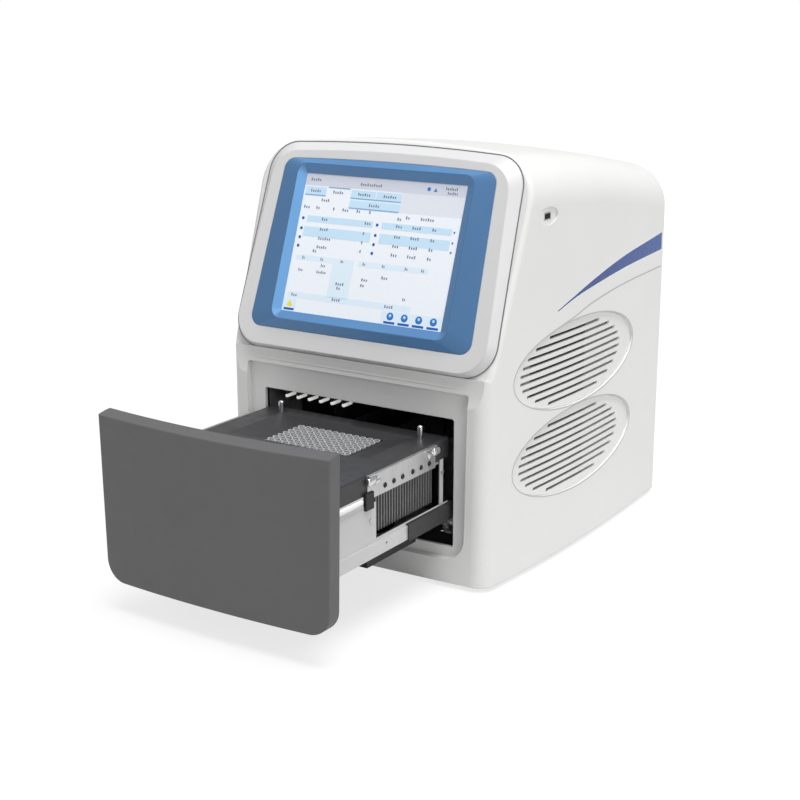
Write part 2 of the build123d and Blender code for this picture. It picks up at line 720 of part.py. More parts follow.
with BuildPart() as rear_panel:
    with Locations((0, FIT, 0)):
        add(rear_blank.part)
    for x in (-REAR_FAN_X, REAR_FAN_X):
        rod((x, PANEL_FACE, FAN_Z), 3.0, 4 * SHEET, "Y", mode=Mode.SUBTRACT)
        for ring in range(1, 5):
            with BuildSketch(Plane.XZ.offset(-PANEL_FACE - SHEET)):
                with Locations((x, FAN_Z)):
                    with PolarLocations(8.2 * ring, 6 * ring):
                        Circle(3.0)
            extrude(amount=4 * SHEET, mode=Mode.SUBTRACT)
    with BuildSketch(Plane.XZ.offset(-PANEL_FACE - SHEET)):
        with Locations((INLET_X, INLET_Z)):
            Rectangle(INLET_W + 2 * FIT, INLET_T + 2 * FIT)
        with Locations((INLET_X, SWITCH_Z)):
            Rectangle(SWITCH_W + 2 * FIT, SWITCH_T + 2 * FIT)
        with Locations((PORTS_X, PORTS_Z)):
            Rectangle(PORTS_W, PORTS_T)
        with Locations(*REAR_SCREWS):
            Circle(SCREW_R + RUN)
    extrude(amount=4 * SHEET, mode=Mode.SUBTRACT)
save(rear_panel, "rear_panel")

with BuildPart() as cover_screws:
    for x, y in BOSSES:
        rod((x, y, BASE_Z + 5), SCREW_R, 12)
        rod((x, y, BASE_Z - 1), 2 * SCREW_R, 2)
    for x, z in REAR_SCREWS:
        rod((x, BODY_DEPTH - 4, z), SCREW_R, 9, "Y")
        rod((x, BODY_DEPTH + SCREW_R / 2, z), 2 * SCREW_R, SCREW_R, "Y")
save(cover_screws, "cover_screws")


def fan_frame(centre, size, turn):
    """A square fan frame with a round bore, four struts and a motor seat."""
    bore = size / 2 - 3
    with BuildPart() as frame:
        with Locations(Location(centre, turn)):
            Box(size, size, FAN_T)
            Cylinder(bore, 2 * FAN_T, mode=Mode.SUBTRACT)
            with GridLocations(size - 9, size - 9, 2, 2):
                Cylinder(2.2, 2 * FAN_T, mode=Mode.SUBTRACT)
            with Locations((0, 0, 1.5 - FAN_T / 2)):
                Box(2 * bore + 2, 4, 3)
                Box(4, 2 * bore + 2, 3)
                Cylinder(FAN_HUB_R, 3)
            with Locations((0, 0, 5.5 - FAN_T / 2)):
                Cylinder(SPINDLE_R, 7)
    return frame.part


def fan_rotor(centre, size, turn):
    """A hub with seven pitched blades, clear of its frame."""
    tip = size / 2 - 4.5
    reach = (FAN_HUB_R + tip) / 2 - 1
    with BuildPart() as rotor:
        with Locations(Location(centre, turn)):
            with Locations((0, 0, 1.5)):
                Cylinder(FAN_HUB_R, FAN_T - 7)
            with PolarLocations(0, 7):
                with Locations(Location((reach, 0, 1.5), (38, 0, 0))):
                    Box(tip - FAN_HUB_R + 2, 17, 1.6)
            with Locations((0, 0, 5 - FAN_T / 2)):
                Cylinder(SPINDLE_R + RUN, 10, mode=Mode.SUBTRACT)
    return rotor.part


TURN_BACK = (90, 0, 0)
REAR_FAN_Y = PANEL_FACE - SHEET - FAN_T / 2
REAR_FANS = {"left": (-REAR_FAN_X, REAR_FAN_Y, FAN_Z), "right": (REAR_FAN_X, REAR_FAN_Y, FAN_Z)}
with BuildPart() as rear_fan_frames:
    for spot in REAR_FANS.values():
        add(fan_frame(spot, REAR_FAN_SIZE, TURN_BACK))
save(rear_fan_frames, "rear_fan_frames")

for name, spot in REAR_FANS.items():
    with BuildPart() as rear_rotor:
        add(fan_rotor(spot, REAR_FAN_SIZE, TURN_BACK))
    save(rear_rotor, f"rear_rotor_{name}")

with BuildPart() as power_inlet:
    face = PANEL_FACE + INLET_RIM
    x0, x1 = INLET_X - INLET_W / 2, INLET_X + INLET_W / 2
    z0, z1 = INLET_Z - INLET_T / 2, INLET_Z + INLET_T / 2
    block(x0, x1, face - INLET_L, face, z0, z1)
    block(x0 - 4, x1 + 4, PANEL_FACE, face, z0 - 3, z1 + 3)
    block(x0 + 1.6, x1 - 1.6, face - INLET_L + 4, face + 1, z0 + 1.6, z1 - 1.6, mode=Mode.SUBTRACT)
    for x, z in ((-7, -2.5), (7, -2.5), (0, 2.5)):
        middle = (INLET_X + x, INLET_Z + z)
        block(middle[0] - 1, middle[0] + 1, face - INLET_L + 3, face - 6, middle[1] - 2, middle[1] + 2)
save(power_inlet, "power_inlet")

with BuildPart() as switch_body:
    x0, x1 = INLET_X - SWITCH_W / 2, INLET_X + SWITCH_W / 2
    z0, z1 = SWITCH_Z - SWITCH_T / 2, SWITCH_Z + SWITCH_T / 2
    block(x0, x1, PANEL_FACE - 16, PANEL_FACE, z0, z1)
    block(x0 - 2, x1 + 2, PANEL_FACE, PANEL_FACE + INLET_RIM, z0 - 2, z1 + 2)
    block(x0 + 1.5, x1 - 1.5, PANEL_FACE - 10, PANEL_FACE + 5, z0 + 1.5, z1 - 1.5, mode=Mode.SUBTRACT)
    rod((INLET_X, PANEL_FACE - 2, SWITCH_Z), 1.2, SWITCH_T - 2)
save(switch_body, "switch_body")

ROCKER_HALF = SWITCH_W / 2 - 3
with BuildPart() as power_rocker:
    with BuildSketch(Plane.XY.offset(SWITCH_Z - SWITCH_T / 2 + 1.8)):
        with BuildLine():
            Polyline(
                (INLET_X - ROCKER_HALF, PANEL_FACE - 1.6),
                (INLET_X - ROCKER_HALF, PANEL_FACE + 3.4),
                (INLET_X, PANEL_FACE + 1.8),
                (INLET_X + ROCKER_HALF, PANEL_FACE + 0.9),
                (INLET_X + ROCKER_HALF, PANEL_FACE - 3.2),
                (INLET_X, PANEL_FACE - 6.0),
                close=True,
            )
        make_face()
    extrude(amount=SWITCH_T - 3.6)
    rod((INLET_X, PANEL_FACE - 2, SWITCH_Z), 1.2 + RUN, 2 * SWITCH_T, mode=Mode.SUBTRACT)
save(power_rocker, "power_rocker")

with BuildPart() as rear_ports:
    face = PANEL_FACE + 0.6
    x0, x1 = PORTS_X - PORTS_W / 2 + FIT, PORTS_X + PORTS_W / 2 - FIT
    z0, z1 = PORTS_Z - PORTS_T / 2 + FIT, PORTS_Z + PORTS_T / 2 - FIT
    block(x0, x1, face - 18, face, z0, z1)
    block(x0 - 3, x1 + 3, PANEL_FACE - SHEET - 2, PANEL_FACE - SHEET, z0 - 3, z1 + 3)
    block(x0 + 2, x0 + 14, face - 12, face + 1, z0 + 1.5, z1 - 1.5, mode=Mode.SUBTRACT)
    for start in (18, 34):
        x = x0 + start
        block(x, x + 13, face - 12, face + 1, PORTS_Z - 2.6, PORTS_Z + 2.6, mode=Mode.SUBTRACT)
save(rear_ports, "rear_ports")

SUPPLY_TOP = BASE_Z + SHEET + PSU_H
with BuildPart() as power_supply:
    block(-PSU_HALF, PSU_HALF, PSU_Y, PSU_Y + PSU_L, BASE_Z + SHEET, SUPPLY_TOP)
    with BuildSketch(Plane.XZ.offset(-PSU_Y - 2)):
        with Locations((0, SUPPLY_TOP - PSU_H / 2)):
            with GridLocations(10, 9, 13, 4):
                RegularPolygon(3.4, 6)
    extrude(amount=4, mode=Mode.SUBTRACT)
save(power_supply, "power_supply")

MAIN_BOARD_Z = SUPPLY_TOP + 18
BLOCKS = [
    (-40, 40, 28, 28, 3),
    (20, 30, 16, 40, 9),
    (54, 60, 22, 12, 12),
    (-10, 62, 30, 8, 8),
    (50, 25, 15, 15, 16),
]
with BuildPart() as main_board:
    top = MAIN_BOARD_Z + BOARD_T
    block(-PSU_HALF, PSU_HALF, PSU_Y, PSU_Y + PSU_L, MAIN_BOARD_Z, top)
    for x in (-PSU_HALF + 6, PSU_HALF - 6):
        for y in (PSU_Y + 6, PSU_Y + PSU_L - 6):
            rod((x, y, MAIN_BOARD_Z - 9), 3, 18)
    for x, y, w, d, h in BLOCKS:
        block(x - w / 2, x + w / 2, PSU_Y + y - d / 2, PSU_Y + y + d / 2, top, top + h)
save(main_board, "main_board")

# Inner frame, slides and drive

SLIDE_Z = BASE_Z + SLIDE_BASE_H
with BuildPart() as frame_sides:
    for side in (-1, 1):
        inner, low = side * FRAME_X, BASE_Z + SHEET
        block(inner, side * (FRAME_X + SHEET), FRAME_FRONT, FRAME_REAR, low, BRIDGE_Z)
        block(inner, side * (FRAME_X + 14), FRAME_FRONT, FRAME_REAR, low, low + SHEET)
        block(
            side * (FRAME_X - 1),
            side * (FRAME_X + 4),
            FRAME_FRONT + 60,
            FRAME_REAR - 60,
            SLIDE_Z + SLIDE_H + 12,
            BRIDGE_Z - 22,
            mode=Mode.SUBTRACT,
        )
    rod((FRAME_X, PINION_Y, PINION_Z), MOTOR_SHAFT_R + 8, 8 * SHEET, "X", mode=Mode.SUBTRACT)
save(frame_sides, "frame_sides")

with BuildPart() as front_member:
    block(-FRAME_X, FRAME_X, FRAME_FRONT, FRAME_FRONT + SHEET, BASE_Z + SHEET, BASE_Z + MEMBER_H)
    block(-FRAME_X, FRAME_X, FRAME_FRONT, FRAME_FRONT + 12, BASE_Z + MEMBER_H - SHEET, BASE_Z + MEMBER_H)
save(front_member, "front_member")


def channel(side, web_x, lip_x, z0, z1, start):
    """A slide member: an upright web with two lips turned to the drawer."""
    with BuildPart() as member:
        block(side * web_x, side * (web_x + SLIDE_SHEET), start, start + SLIDE_L, z0, z1)
        block(side * lip_x, side * web_x, start, start + SLIDE_L, z0, z0 + SLIDE_SHEET)
        block(side * lip_x, side * web_x, start, start + SLIDE_L, z1 - SLIDE_SHEET, z1)
    return member.part


LIP = SLIDE_SHEET + FIT
MIDDLE_X = CARRIAGE_HALF + INNER_T + 2 * FIT
OUTER_X = FRAME_X - SLIDE_SHEET
with BuildPart() as inner_slides:
    for side in (-1, 1):
        block(
            side * CARRIAGE_HALF,
            side * (CARRIAGE_HALF + INNER_T),
            PANEL_BACK + INNER_START,
            PANEL_BACK + INNER_START + INNER_L,
            SLIDE_Z,
            SLIDE_Z + SLIDE_H,
        )
    fillet(inner_slides.edges().filter_by(Axis.Y), radius=0.5)
    for side in (-1, 1):
        spot = (side * CARRIAGE_HALF, PANEL_BACK + SLIDE_HOLE, SLIDE_Z + 0.6 * SLIDE_H)
        rod(spot, SCREW_R, 4 * INNER_T, "X", mode=Mode.SUBTRACT)
save(inner_slides, "inner_slides")

for side, name in ((-1, "left"), (1, "right")):
    with BuildPart() as slide_middle:
        start = OUTER_START - TRAVEL / 2
        add(channel(side, MIDDLE_X, CARRIAGE_HALF + FIT, SLIDE_Z - LIP, SLIDE_Z + SLIDE_H + LIP, start))
    save(slide_middle, f"slide_middle_{name}")

with BuildPart() as outer_slides:
    for side in (-1, 1):
        add(channel(side, OUTER_X, MIDDLE_X, SLIDE_Z - 2 * LIP, SLIDE_Z + SLIDE_H + 2 * LIP, OUTER_START))
save(outer_slides, "outer_slides")

TOOTH_HALF = TOOTH_SHARE * PITCH / 2
TOOTH_SLOPE = tan(radians(20.0))
RACK_ROOT = RACK_LINE + 1.25 * MODULE
RACK_TIP = RACK_LINE - 0.9 * MODULE
RACK_TEETH = int((TRAVEL + 20) / PITCH)
RACK_START = PINION_Y - (RACK_TEETH - 2.5) * PITCH
with BuildPart() as drive_rack:
    with BuildSketch(Plane.YZ.offset(RACK_X - RACK_W / 2)):
        with BuildLine():
            points = [(RACK_START - PITCH / 2, RACK_ROOT)]
            for k in range(RACK_TEETH):
                y = RACK_START + k * PITCH
                root = TOOTH_HALF + 1.25 * MODULE * TOOTH_SLOPE
                tip = TOOTH_HALF - 0.9 * MODULE * TOOTH_SLOPE
                points += [(y - root, RACK_ROOT), (y - tip, RACK_TIP)]
                points += [(y + tip, RACK_TIP), (y + root, RACK_ROOT)]
            rack_end = RACK_START + (RACK_TEETH - 0.5) * PITCH
            points += [(rack_end, RACK_ROOT), (rack_end, CARRIAGE_FLOOR), (points[0][0], CARRIAGE_FLOOR)]
            Polyline(*points, close=True)
        make_face()
    extrude(amount=RACK_W)
save(drive_rack, "drive_rack")

GEAR_ROOT = PINION_R - 1.25 * MODULE
GEAR_TIP = PINION_R + 0.85 * MODULE
GEAR_PROFILE = []
for k in range(PINION_TEETH):
    turn = 2 * pi * k / PINION_TEETH
    root = TOOTH_HALF + 1.2 * MODULE * TOOTH_SLOPE
    tip = TOOTH_HALF - 0.8 * MODULE * TOOTH_SLOPE
    for across, out in ((-root, GEAR_ROOT), (-tip, GEAR_TIP), (tip, GEAR_TIP), (root, GEAR_ROOT)):
        y = PINION_Y + across * cos(turn) + out * sin(turn)
        z = PINION_Z - across * sin(turn) + out * cos(turn)
        GEAR_PROFILE.append((y, z))
with BuildPart() as drive_pinion:
    with BuildSketch(Plane.YZ.offset(RACK_X - RACK_W / 2 + 0.5)):
        with BuildLine():
            Polyline(*GEAR_PROFILE, close=True)
        make_face()
    extrude(amount=RACK_W - 1)
    rod((RACK_X + RACK_W / 2 + 1.5, PINION_Y, PINION_Z), MOTOR_SHAFT_R + 3, 4, "X")
    rod((RACK_X, PINION_Y, PINION_Z), MOTOR_SHAFT_R + RUN, 6 * RACK_W, "X", mode=Mode.SUBTRACT)
save(drive_pinion, "drive_pinion")


def stepper(centre, turn, shaft):
    """A square motor. Its front face lies at the centre given and its shaft stands out of it."""
    with BuildPart() as motor:
        with Locations(Location(centre, turn)):
            with Locations((0, 0, MOTOR_L / 2)):
                Box(MOTOR_SIZE, MOTOR_SIZE, MOTOR_L)
        axis = {(0, 0, 0): Axis.Z, (0, 90, 0): Axis.X}[turn]
        chamfer(motor.edges().filter_by(axis), length=3.5)
        with Locations(Location(centre, turn)):
            with Locations((0, 0, -shaft / 2)):
                Cylinder(MOTOR_SHAFT_R, shaft)
            with Locations((0, 0, -SHEET / 2)):
                Cylinder(MOTOR_SHAFT_R + 7, SHEET)
    return motor.part


with BuildPart() as drive_motor:
    face = FRAME_X + SHEET
    add(stepper((face, PINION_Y, PINION_Z), (0, 90, 0), face - RACK_X + RACK_W / 2))
save(drive_motor, "drive_motor")

with BuildPart() as light_baffle:
    rear = FASCIA_BACK + BAFFLE_L
    top = BASE_Z + OPENING_TOP_H
    block(BAFFLE_X - 4, BAFFLE_X + 5 * BAFFLE_PITCH + 4, FASCIA_BACK, FASCIA_BACK + 3, top, top + 12)
    for k in range(6):
        x = BAFFLE_X + k * BAFFLE_PITCH
        block(x - BAFFLE_W / 2, x + BAFFLE_W / 2, FASCIA_BACK, rear, top - 5, top + 2)
save(light_baffle, "light_baffle")

# Drawer: panel, carriage and tray


def bowed_slab(back, thickness):
    """An upright slab that bows to the front like the drawer's panel."""
    spread = 1.1
    ends = back + PANEL_BOW * (spread * spread - 1)
    half = spread * PANEL_HALF_TOP
    with BuildPart() as slab:
        with BuildSketch(Plane.XY):
            with BuildLine():
                ThreePointArc((-half, ends), (0, back - PANEL_BOW), (half, ends))
                Line((half, ends), (half, ends - thickness))
                ThreePointArc(
                    (half, ends - thickness),
                    (0, back - PANEL_BOW - thickness),
                    (-half, ends - thickness),
                )
                Line((-half, ends - thickness), (-half, ends))
            make_face()
        extrude(amount=BASE_Z + PANEL_TOP_H + PANEL_FALL, both=True)
    return slab.part


PANEL_TOP = BASE_Z + PANEL_TOP_H
PANEL_LOW = BASE_Z + PANEL_BOTTOM_H
HOLLOW_TOP = PANEL_TOP - PANEL_FALL - PANEL_SKIN
PANEL_REACH = PANEL_T + PANEL_BOW + 10

with BuildPart() as panel_hollow:
    add(plate(panel_outline(PANEL_BACK + 5, -PANEL_SKIN), PANEL_REACH, FORWARD))
    add(bowed_slab(PANEL_BACK + PANEL_SKIN, PANEL_T), mode=Mode.INTERSECT)
    block(-HALF_BULGE, HALF_BULGE, 2 * PANEL_BACK, 0, HOLLOW_TOP, PANEL_TOP + 10, mode=Mode.SUBTRACT)

with BuildPart() as panel_ribs:
    for k in range(-2, 3):
        x = k * PANEL_HALF_TOP / 3
        block(x - 1, x + 1, PANEL_BACK - PANEL_REACH, PANEL_BACK, PANEL_LOW, PANEL_TOP)
    for z in (PANEL_LOW + 45, PANEL_LOW + 110):
        block(-PANEL_HALF_TOP, PANEL_HALF_TOP, PANEL_BACK - PANEL_REACH, PANEL_BACK, z - 1, z + 1)
    add(panel_hollow.part, mode=Mode.INTERSECT)
    add(bowed_slab(PANEL_BACK - SHEET, PANEL_T), mode=Mode.INTERSECT)

with BuildPart() as drawer_panel:
    add(plate(panel_outline(PANEL_BACK + 5, 0.0), PANEL_REACH, FORWARD))
    add(bowed_slab(PANEL_BACK, PANEL_T), mode=Mode.INTERSECT)
    with BuildSketch(Plane.YZ.offset(-HALF_BULGE)):
        with BuildLine():
            Polyline(
                (PANEL_BACK, PANEL_TOP),
                (PANEL_BACK - 2 * PANEL_T, PANEL_TOP - 2 * PANEL_FALL),
                (PANEL_BACK - 2 * PANEL_T, PANEL_TOP + 10),
                (PANEL_BACK, PANEL_TOP + 10),
                close=True,
            )
        make_face()
    extrude(amount=2 * HALF_BULGE, mode=Mode.SUBTRACT)
    front = drawer_panel.faces().sort_by(Axis.Y)[0]
    fillet(front.edges(), radius=PANEL_EDGE_R)
    add(panel_hollow.part, mode=Mode.SUBTRACT)
    add(panel_ribs.part)
save(drawer_panel, "drawer_panel")

with BuildPart() as panel_backplate:
    add(plate(panel_outline(PANEL_BACK + 5, -PANEL_SKIN - FIT), PANEL_REACH, FORWARD))
    add(bowed_slab(PANEL_BACK, SHEET), mode=Mode.INTERSECT)
    block(-HALF_BULGE, HALF_BULGE, 2 * PANEL_BACK, 0, HOLLOW_TOP - FIT, PANEL_TOP + 10, mode=Mode.SUBTRACT)
save(panel_backplate, "panel_backplate")

AHEAD = bowed_slab(PANEL_BACK, 4 * PANEL_T)
CARRIAGE_START = PANEL_BACK - PANEL_BOW - 2
PLATE_LOW = CARRIAGE_FLOOR - 2
PLATE_TOP = BASE_Z + PLATE_TOP_H
WINDOW_FRONT = PANEL_BACK + WINDOW_START
WINDOW_REAR = PANEL_BACK + WINDOW_END
SINK_Y = (WINDOW_FRONT + WINDOW_REAR) / 2
PLATE_IN = CARRIAGE_HALF - SHEET

with BuildPart() as carriage_floor:
    block(-PLATE_IN, PLATE_IN, CARRIAGE_START, CARRIAGE_END, CARRIAGE_FLOOR, CARRIAGE_FLOOR + 2)
    block(-PLATE_IN, PLATE_IN, CARRIAGE_START, PANEL_BACK + 2, CARRIAGE_FLOOR, CARRIAGE_FLOOR + 24)
    add(AHEAD, mode=Mode.SUBTRACT)
    with Locations((-SINK_FAN_X, SINK_Y, CARRIAGE_FLOOR), (SINK_FAN_X, SINK_Y, CARRIAGE_FLOOR)):
        Cylinder(SINK_FAN_SIZE / 2 - 4, 10, mode=Mode.SUBTRACT)
save(carriage_floor, "carriage_floor")

with BuildPart() as side_plates:
    for side in (-1, 1):
        inside = side * PLATE_IN
        outside = side * CARRIAGE_HALF
        block(inside, outside, CARRIAGE_START, WINDOW_FRONT, PLATE_LOW, PLATE_TOP)
        block(inside, side * (CARRIAGE_HALF + 1.2), CARRIAGE_START, BAND_END, PLATE_TOP, TRAY_BOTTOM)
        block(inside, outside, WINDOW_FRONT, CARRIAGE_END, PLATE_LOW, CARRIAGE_FLOOR + WINDOW_SILL)
        block(inside, outside, WINDOW_REAR, WINDOW_REAR + POST_W, PLATE_LOW, TRAY_BOTTOM)
    add(AHEAD, mode=Mode.SUBTRACT)
save(side_plates, "side_plates")


def dished(top_z, floor_z, grow):
    """The sloping hollow round the block, between two levels."""
    with BuildPart() as hollow:
        with BuildSketch(Plane.XY.offset(top_z)):
            with Locations((0, BLOCK_Y)):
                Rectangle(DISH_TOP_W + 2 * grow, DISH_TOP_L + 2 * grow)
        with BuildSketch(Plane.XY.offset(floor_z)):
            with Locations((0, BLOCK_Y)):
                Rectangle(LID_L + 2 * grow, LID_W + 2 * grow)
        loft(ruled=True)
    return hollow.part


DISH_FLOOR = TRAY_TOP - DISH_DEPTH
FIELD_W = (WELL_COLS - 1) * WELL_PITCH + 2 * (WELL_R + WELL_WALL)
FIELD_L = (WELL_ROWS - 1) * WELL_PITCH + 2 * (WELL_R + WELL_WALL)
with BuildPart() as tray_inside:
    edge = CARRIAGE_HALF - TRAY_WALL
    block(-edge, edge, CARRIAGE_START, CARRIAGE_END - TRAY_WALL, TRAY_BOTTOM - 5, TRAY_TOP - TRAY_WALL)
    add(bowed_slab(PANEL_BACK + TRAY_WALL, 4 * PANEL_T), mode=Mode.SUBTRACT)
    add(dished(TRAY_TOP - TRAY_WALL, DISH_FLOOR - TRAY_WALL, TRAY_WALL), mode=Mode.SUBTRACT)

with BuildPart() as tray_cover:
    block(-CARRIAGE_HALF, CARRIAGE_HALF, CARRIAGE_START, CARRIAGE_END, TRAY_BOTTOM, TRAY_TOP)
    add(AHEAD, mode=Mode.SUBTRACT)
    fillet(tray_cover.edges().filter_by(Axis.Y).group_by(Axis.Z)[-1], radius=2.0)
    add(tray_inside.part, mode=Mode.SUBTRACT)
    add(dished(TRAY_TOP, DISH_FLOOR, 0.0), mode=Mode.SUBTRACT)
    with Locations((0, BLOCK_Y, TRAY_TOP)):
        Box(FIELD_W + 3, FIELD_L + 3, 8 * TRAY_WALL, mode=Mode.SUBTRACT)
save(tray_cover, "tray_cover")

PIN_Y = CARRIAGE_END - GUIDE_PIN_IN
with BuildPart() as guide_pins:
    for x in (-GUIDE_PIN_X, GUIDE_PIN_X):
        rod((x, PIN_Y, TRAY_TOP + GUIDE_PIN_H / 2 + 1), GUIDE_PIN_R, GUIDE_PIN_H - 2)
        rod((x, PIN_Y, TRAY_TOP + GUIDE_PIN_H / 4), GUIDE_PIN_R - 0.8, GUIDE_PIN_H / 2)
    fillet(guide_pins.edges().group_by(Axis.Z)[-1], radius=0.75 * GUIDE_PIN_R)
save(guide_pins, "guide_pins")

BRACKET_REAR = BRACKET_FRONT + BRACKET_L
BRACKET_LOW = TRAY_TOP - 1 - BRACKET_H
BRACKET_OUT = CARRIAGE_HALF + SHEET
HOLES_Z = BRACKET_LOW + 0.3 * BRACKET_H
HOLE_GROUPS = (BRACKET_FRONT + 31.0, BRACKET_FRONT + 82.0)
with BuildPart() as side_brackets:
    for side in (-1, 1):
        inner, top = side * CARRIAGE_HALF, TRAY_TOP - 1
        block(inner, side * BRACKET_OUT, BRACKET_FRONT, BRACKET_REAR, BRACKET_LOW, top)
        block(
            inner,
            side * (BRACKET_OUT + 2.5),
            BRACKET_FRONT,
            BRACKET_REAR,
            top - SHEET,
            top,
        )
        for y in (WINDOW_FRONT + 2, WINDOW_REAR - 14):
            block(side * (SINK_HALF - 4), side * BRACKET_OUT, y, y + 8, SINK_TOP, TRAY_BOTTOM)
        for start in HOLE_GROUPS:
            for k in range(3):
                spot = (side * BRACKET_OUT, start + k * BRACKET_HOLE_PITCH, HOLES_Z)
                rod(spot, BRACKET_HOLE_R, 3 * SHEET, "X", mode=Mode.SUBTRACT)
save(side_brackets, "side_brackets")

with BuildPart() as bracket_clips:
    for side in (-1, 1):
        for start, step in ((BRACKET_FRONT + 4, 1), (BRACKET_REAR - 4, -1)):
            rod((side * (BRACKET_OUT + 1), start, TRAY_TOP - 6.5), 3.4, 2, "X")
            rod((side * (BRACKET_OUT + 1), start + 12 * step, TRAY_TOP - 7.5), 2.6, 2, "X")
            block(
                side * BRACKET_OUT,
                side * (BRACKET_OUT + 1.2),
                start,
                start + 12 * step,
                TRAY_TOP - 9,
                TRAY_TOP - 5,
            )
save(bracket_clips, "bracket_clips")

with BuildPart() as side_screws:
    for side in (-1, 1):
        for y, z in ((PANEL_BACK + 20, PLATE_LOW + 40), (WINDOW_FRONT - 10, PLATE_LOW + 40)):
            rod((side * (CARRIAGE_HALF + 0.7), y, z), 1.5 * SCREW_R, 1.4, "X")
        rod((side * (CARRIAGE_HALF + 0.7), WINDOW_REAR + 3, TRAY_BOTTOM - 14), 1.5 * SCREW_R, 1.4, "X")
save(side_screws, "side_screws")

# Thermal block, heat sink and its fans

with BuildPart() as sample_block:
    middle = (0, BLOCK_Y)
    low = BLOCK_TOP - COLLAR_H
    block(-LID_L / 2, LID_L / 2, BLOCK_Y - LID_W / 2, BLOCK_Y + LID_W / 2, BLOCK_BOTTOM, low)
    with BuildSketch(Plane.XY.offset(low)):
        with Locations(middle):
            with GridLocations(WELL_PITCH, WELL_PITCH, WELL_COLS, WELL_ROWS):
                Circle(WELL_R + WELL_WALL)
    extrude(amount=COLLAR_H)
    with BuildSketch(Plane.XY.offset(BLOCK_TOP)):
        with Locations(middle):
            with GridLocations(WELL_PITCH, WELL_PITCH, WELL_COLS, WELL_ROWS):
                Circle(WELL_R)
    extrude(amount=-WELL_DEPTH, mode=Mode.SUBTRACT)
save(sample_block, "sample_block")

with BuildPart() as peltier_modules:
    with Locations((0, BLOCK_Y, BLOCK_BOTTOM - PELTIER_T / 2)):
        with GridLocations(LID_L / 3, LID_W / 2, 3, 2):
            Box(LID_L / 3 - 2.5, LID_W / 2 - 2.5, PELTIER_T)
save(peltier_modules, "peltier_modules")

FINS = int((SINK_L - FIN_T) / FIN_PITCH) + 1
with BuildPart() as heat_sink:
    y0, y1 = SINK_Y - SINK_L / 2, SINK_Y + SINK_L / 2
    block(-SINK_HALF, SINK_HALF, y0, y1, FIN_TOP, SINK_TOP)
    for k in range(FINS):
        y = SINK_Y + (k - (FINS - 1) / 2) * FIN_PITCH
        block(-SINK_HALF, SINK_HALF, y - FIN_T / 2, y + FIN_T / 2, FIN_TOP - FIN_H, FIN_TOP)
save(heat_sink, "heat_sink")

SINK_FAN_Z = CARRIAGE_FLOOR - FAN_T / 2
SINK_FANS = {"left": (-SINK_FAN_X, SINK_Y, SINK_FAN_Z), "right": (SINK_FAN_X, SINK_Y, SINK_FAN_Z)}
with BuildPart() as sink_fan_frames:
    for spot in SINK_FANS.values():
        add(fan_frame(spot, SINK_FAN_SIZE, (0, 0, 0)))
save(sink_fan_frames, "sink_fan_frames")

for name, spot in SINK_FANS.items():
    with BuildPart() as sink_rotor:
        add(fan_rotor(spot, SINK_FAN_SIZE, (0, 0, 0)))
    save(sink_rotor, f"sink_rotor_{name}")

# Heated lid with its lift, and the optics above it

POSTS = [(x, CLOSED_BLOCK_Y + y) for x in (-POST_X, POST_X) for y in (-POST_SPREAD / 2, POST_SPREAD / 2)]
SCREW_Y = CLOSED_BLOCK_Y + LIFT_SCREW_BEHIND
BRIDGE_TOP = BRIDGE_Z + BRIDGE_T

with BuildPart() as heated_lid:
    with Locations((0, CLOSED_BLOCK_Y, LID_BOTTOM + LID_T / 2)):
        Box(LID_L, LID_W, LID_T)
    with BuildSketch(Plane.XY.offset(LID_BOTTOM)):
        with Locations((0, CLOSED_BLOCK_Y)):
            with GridLocations(WELL_PITCH, WELL_PITCH, WELL_COLS, WELL_ROWS):
                Circle(WELL_R - 0.5)
    extrude(amount=LID_T, mode=Mode.SUBTRACT)
save(heated_lid, "heated_lid")

with BuildPart() as lid_carrier:
    top = CARRIER_BOTTOM + CARRIER_T
    block(-POST_X - 9, POST_X + 9, CLOSED_BLOCK_Y - CARRIER_FRONT, SCREW_Y + 10, CARRIER_BOTTOM, top)
    rod((0, SCREW_Y, top + 4), LID_SCREW_R + 5, 8)
    with Locations((0, CLOSED_BLOCK_Y, CARRIER_BOTTOM)):
        Box(LID_L - 10, LID_W - 8, 4 * CARRIER_T, mode=Mode.SUBTRACT)
    for x, y in POSTS:
        rod((x, y, top + 4), POST_R + 3, 8)
        rod((x, y, top), POST_R + RUN, 8 * CARRIER_T, mode=Mode.SUBTRACT)
    for x in (-GUIDE_PIN_X, GUIDE_PIN_X):
        rod((x, PIN_Y + TRAVEL, top), GUIDE_PIN_R + 2 * FIT, 4 * CARRIER_T, mode=Mode.SUBTRACT)
    rod((0, SCREW_Y, top), LID_SCREW_R + RUN, 8 * CARRIER_T, mode=Mode.SUBTRACT)
save(lid_carrier, "lid_carrier")

with BuildPart() as lid_bridge:
    block(
        -FRAME_X - SHEET,
        FRAME_X + SHEET,
        CLOSED_BLOCK_Y - CARRIER_FRONT,
        SCREW_Y + 26,
        BRIDGE_Z,
        BRIDGE_TOP,
    )
    with Locations((0, CLOSED_BLOCK_Y, BRIDGE_Z)):
        Box(LID_L - 10, LID_W - 8, 4 * BRIDGE_T, mode=Mode.SUBTRACT)
    rod((0, SCREW_Y, BRIDGE_Z), LID_SCREW_R + 6, 4 * BRIDGE_T, mode=Mode.SUBTRACT)
save(lid_bridge, "lid_bridge")

with BuildPart() as lid_posts:
    for x, y in POSTS:
        length = BRIDGE_Z - TRAY_TOP - 4
        rod((x, y, BRIDGE_Z - length / 2), POST_R, length)
save(lid_posts, "lid_posts")

with BuildPart() as lid_motor:
    add(stepper((0, SCREW_Y, BRIDGE_TOP), (0, 0, 0), 3 * BRIDGE_T))
save(lid_motor, "lid_motor")

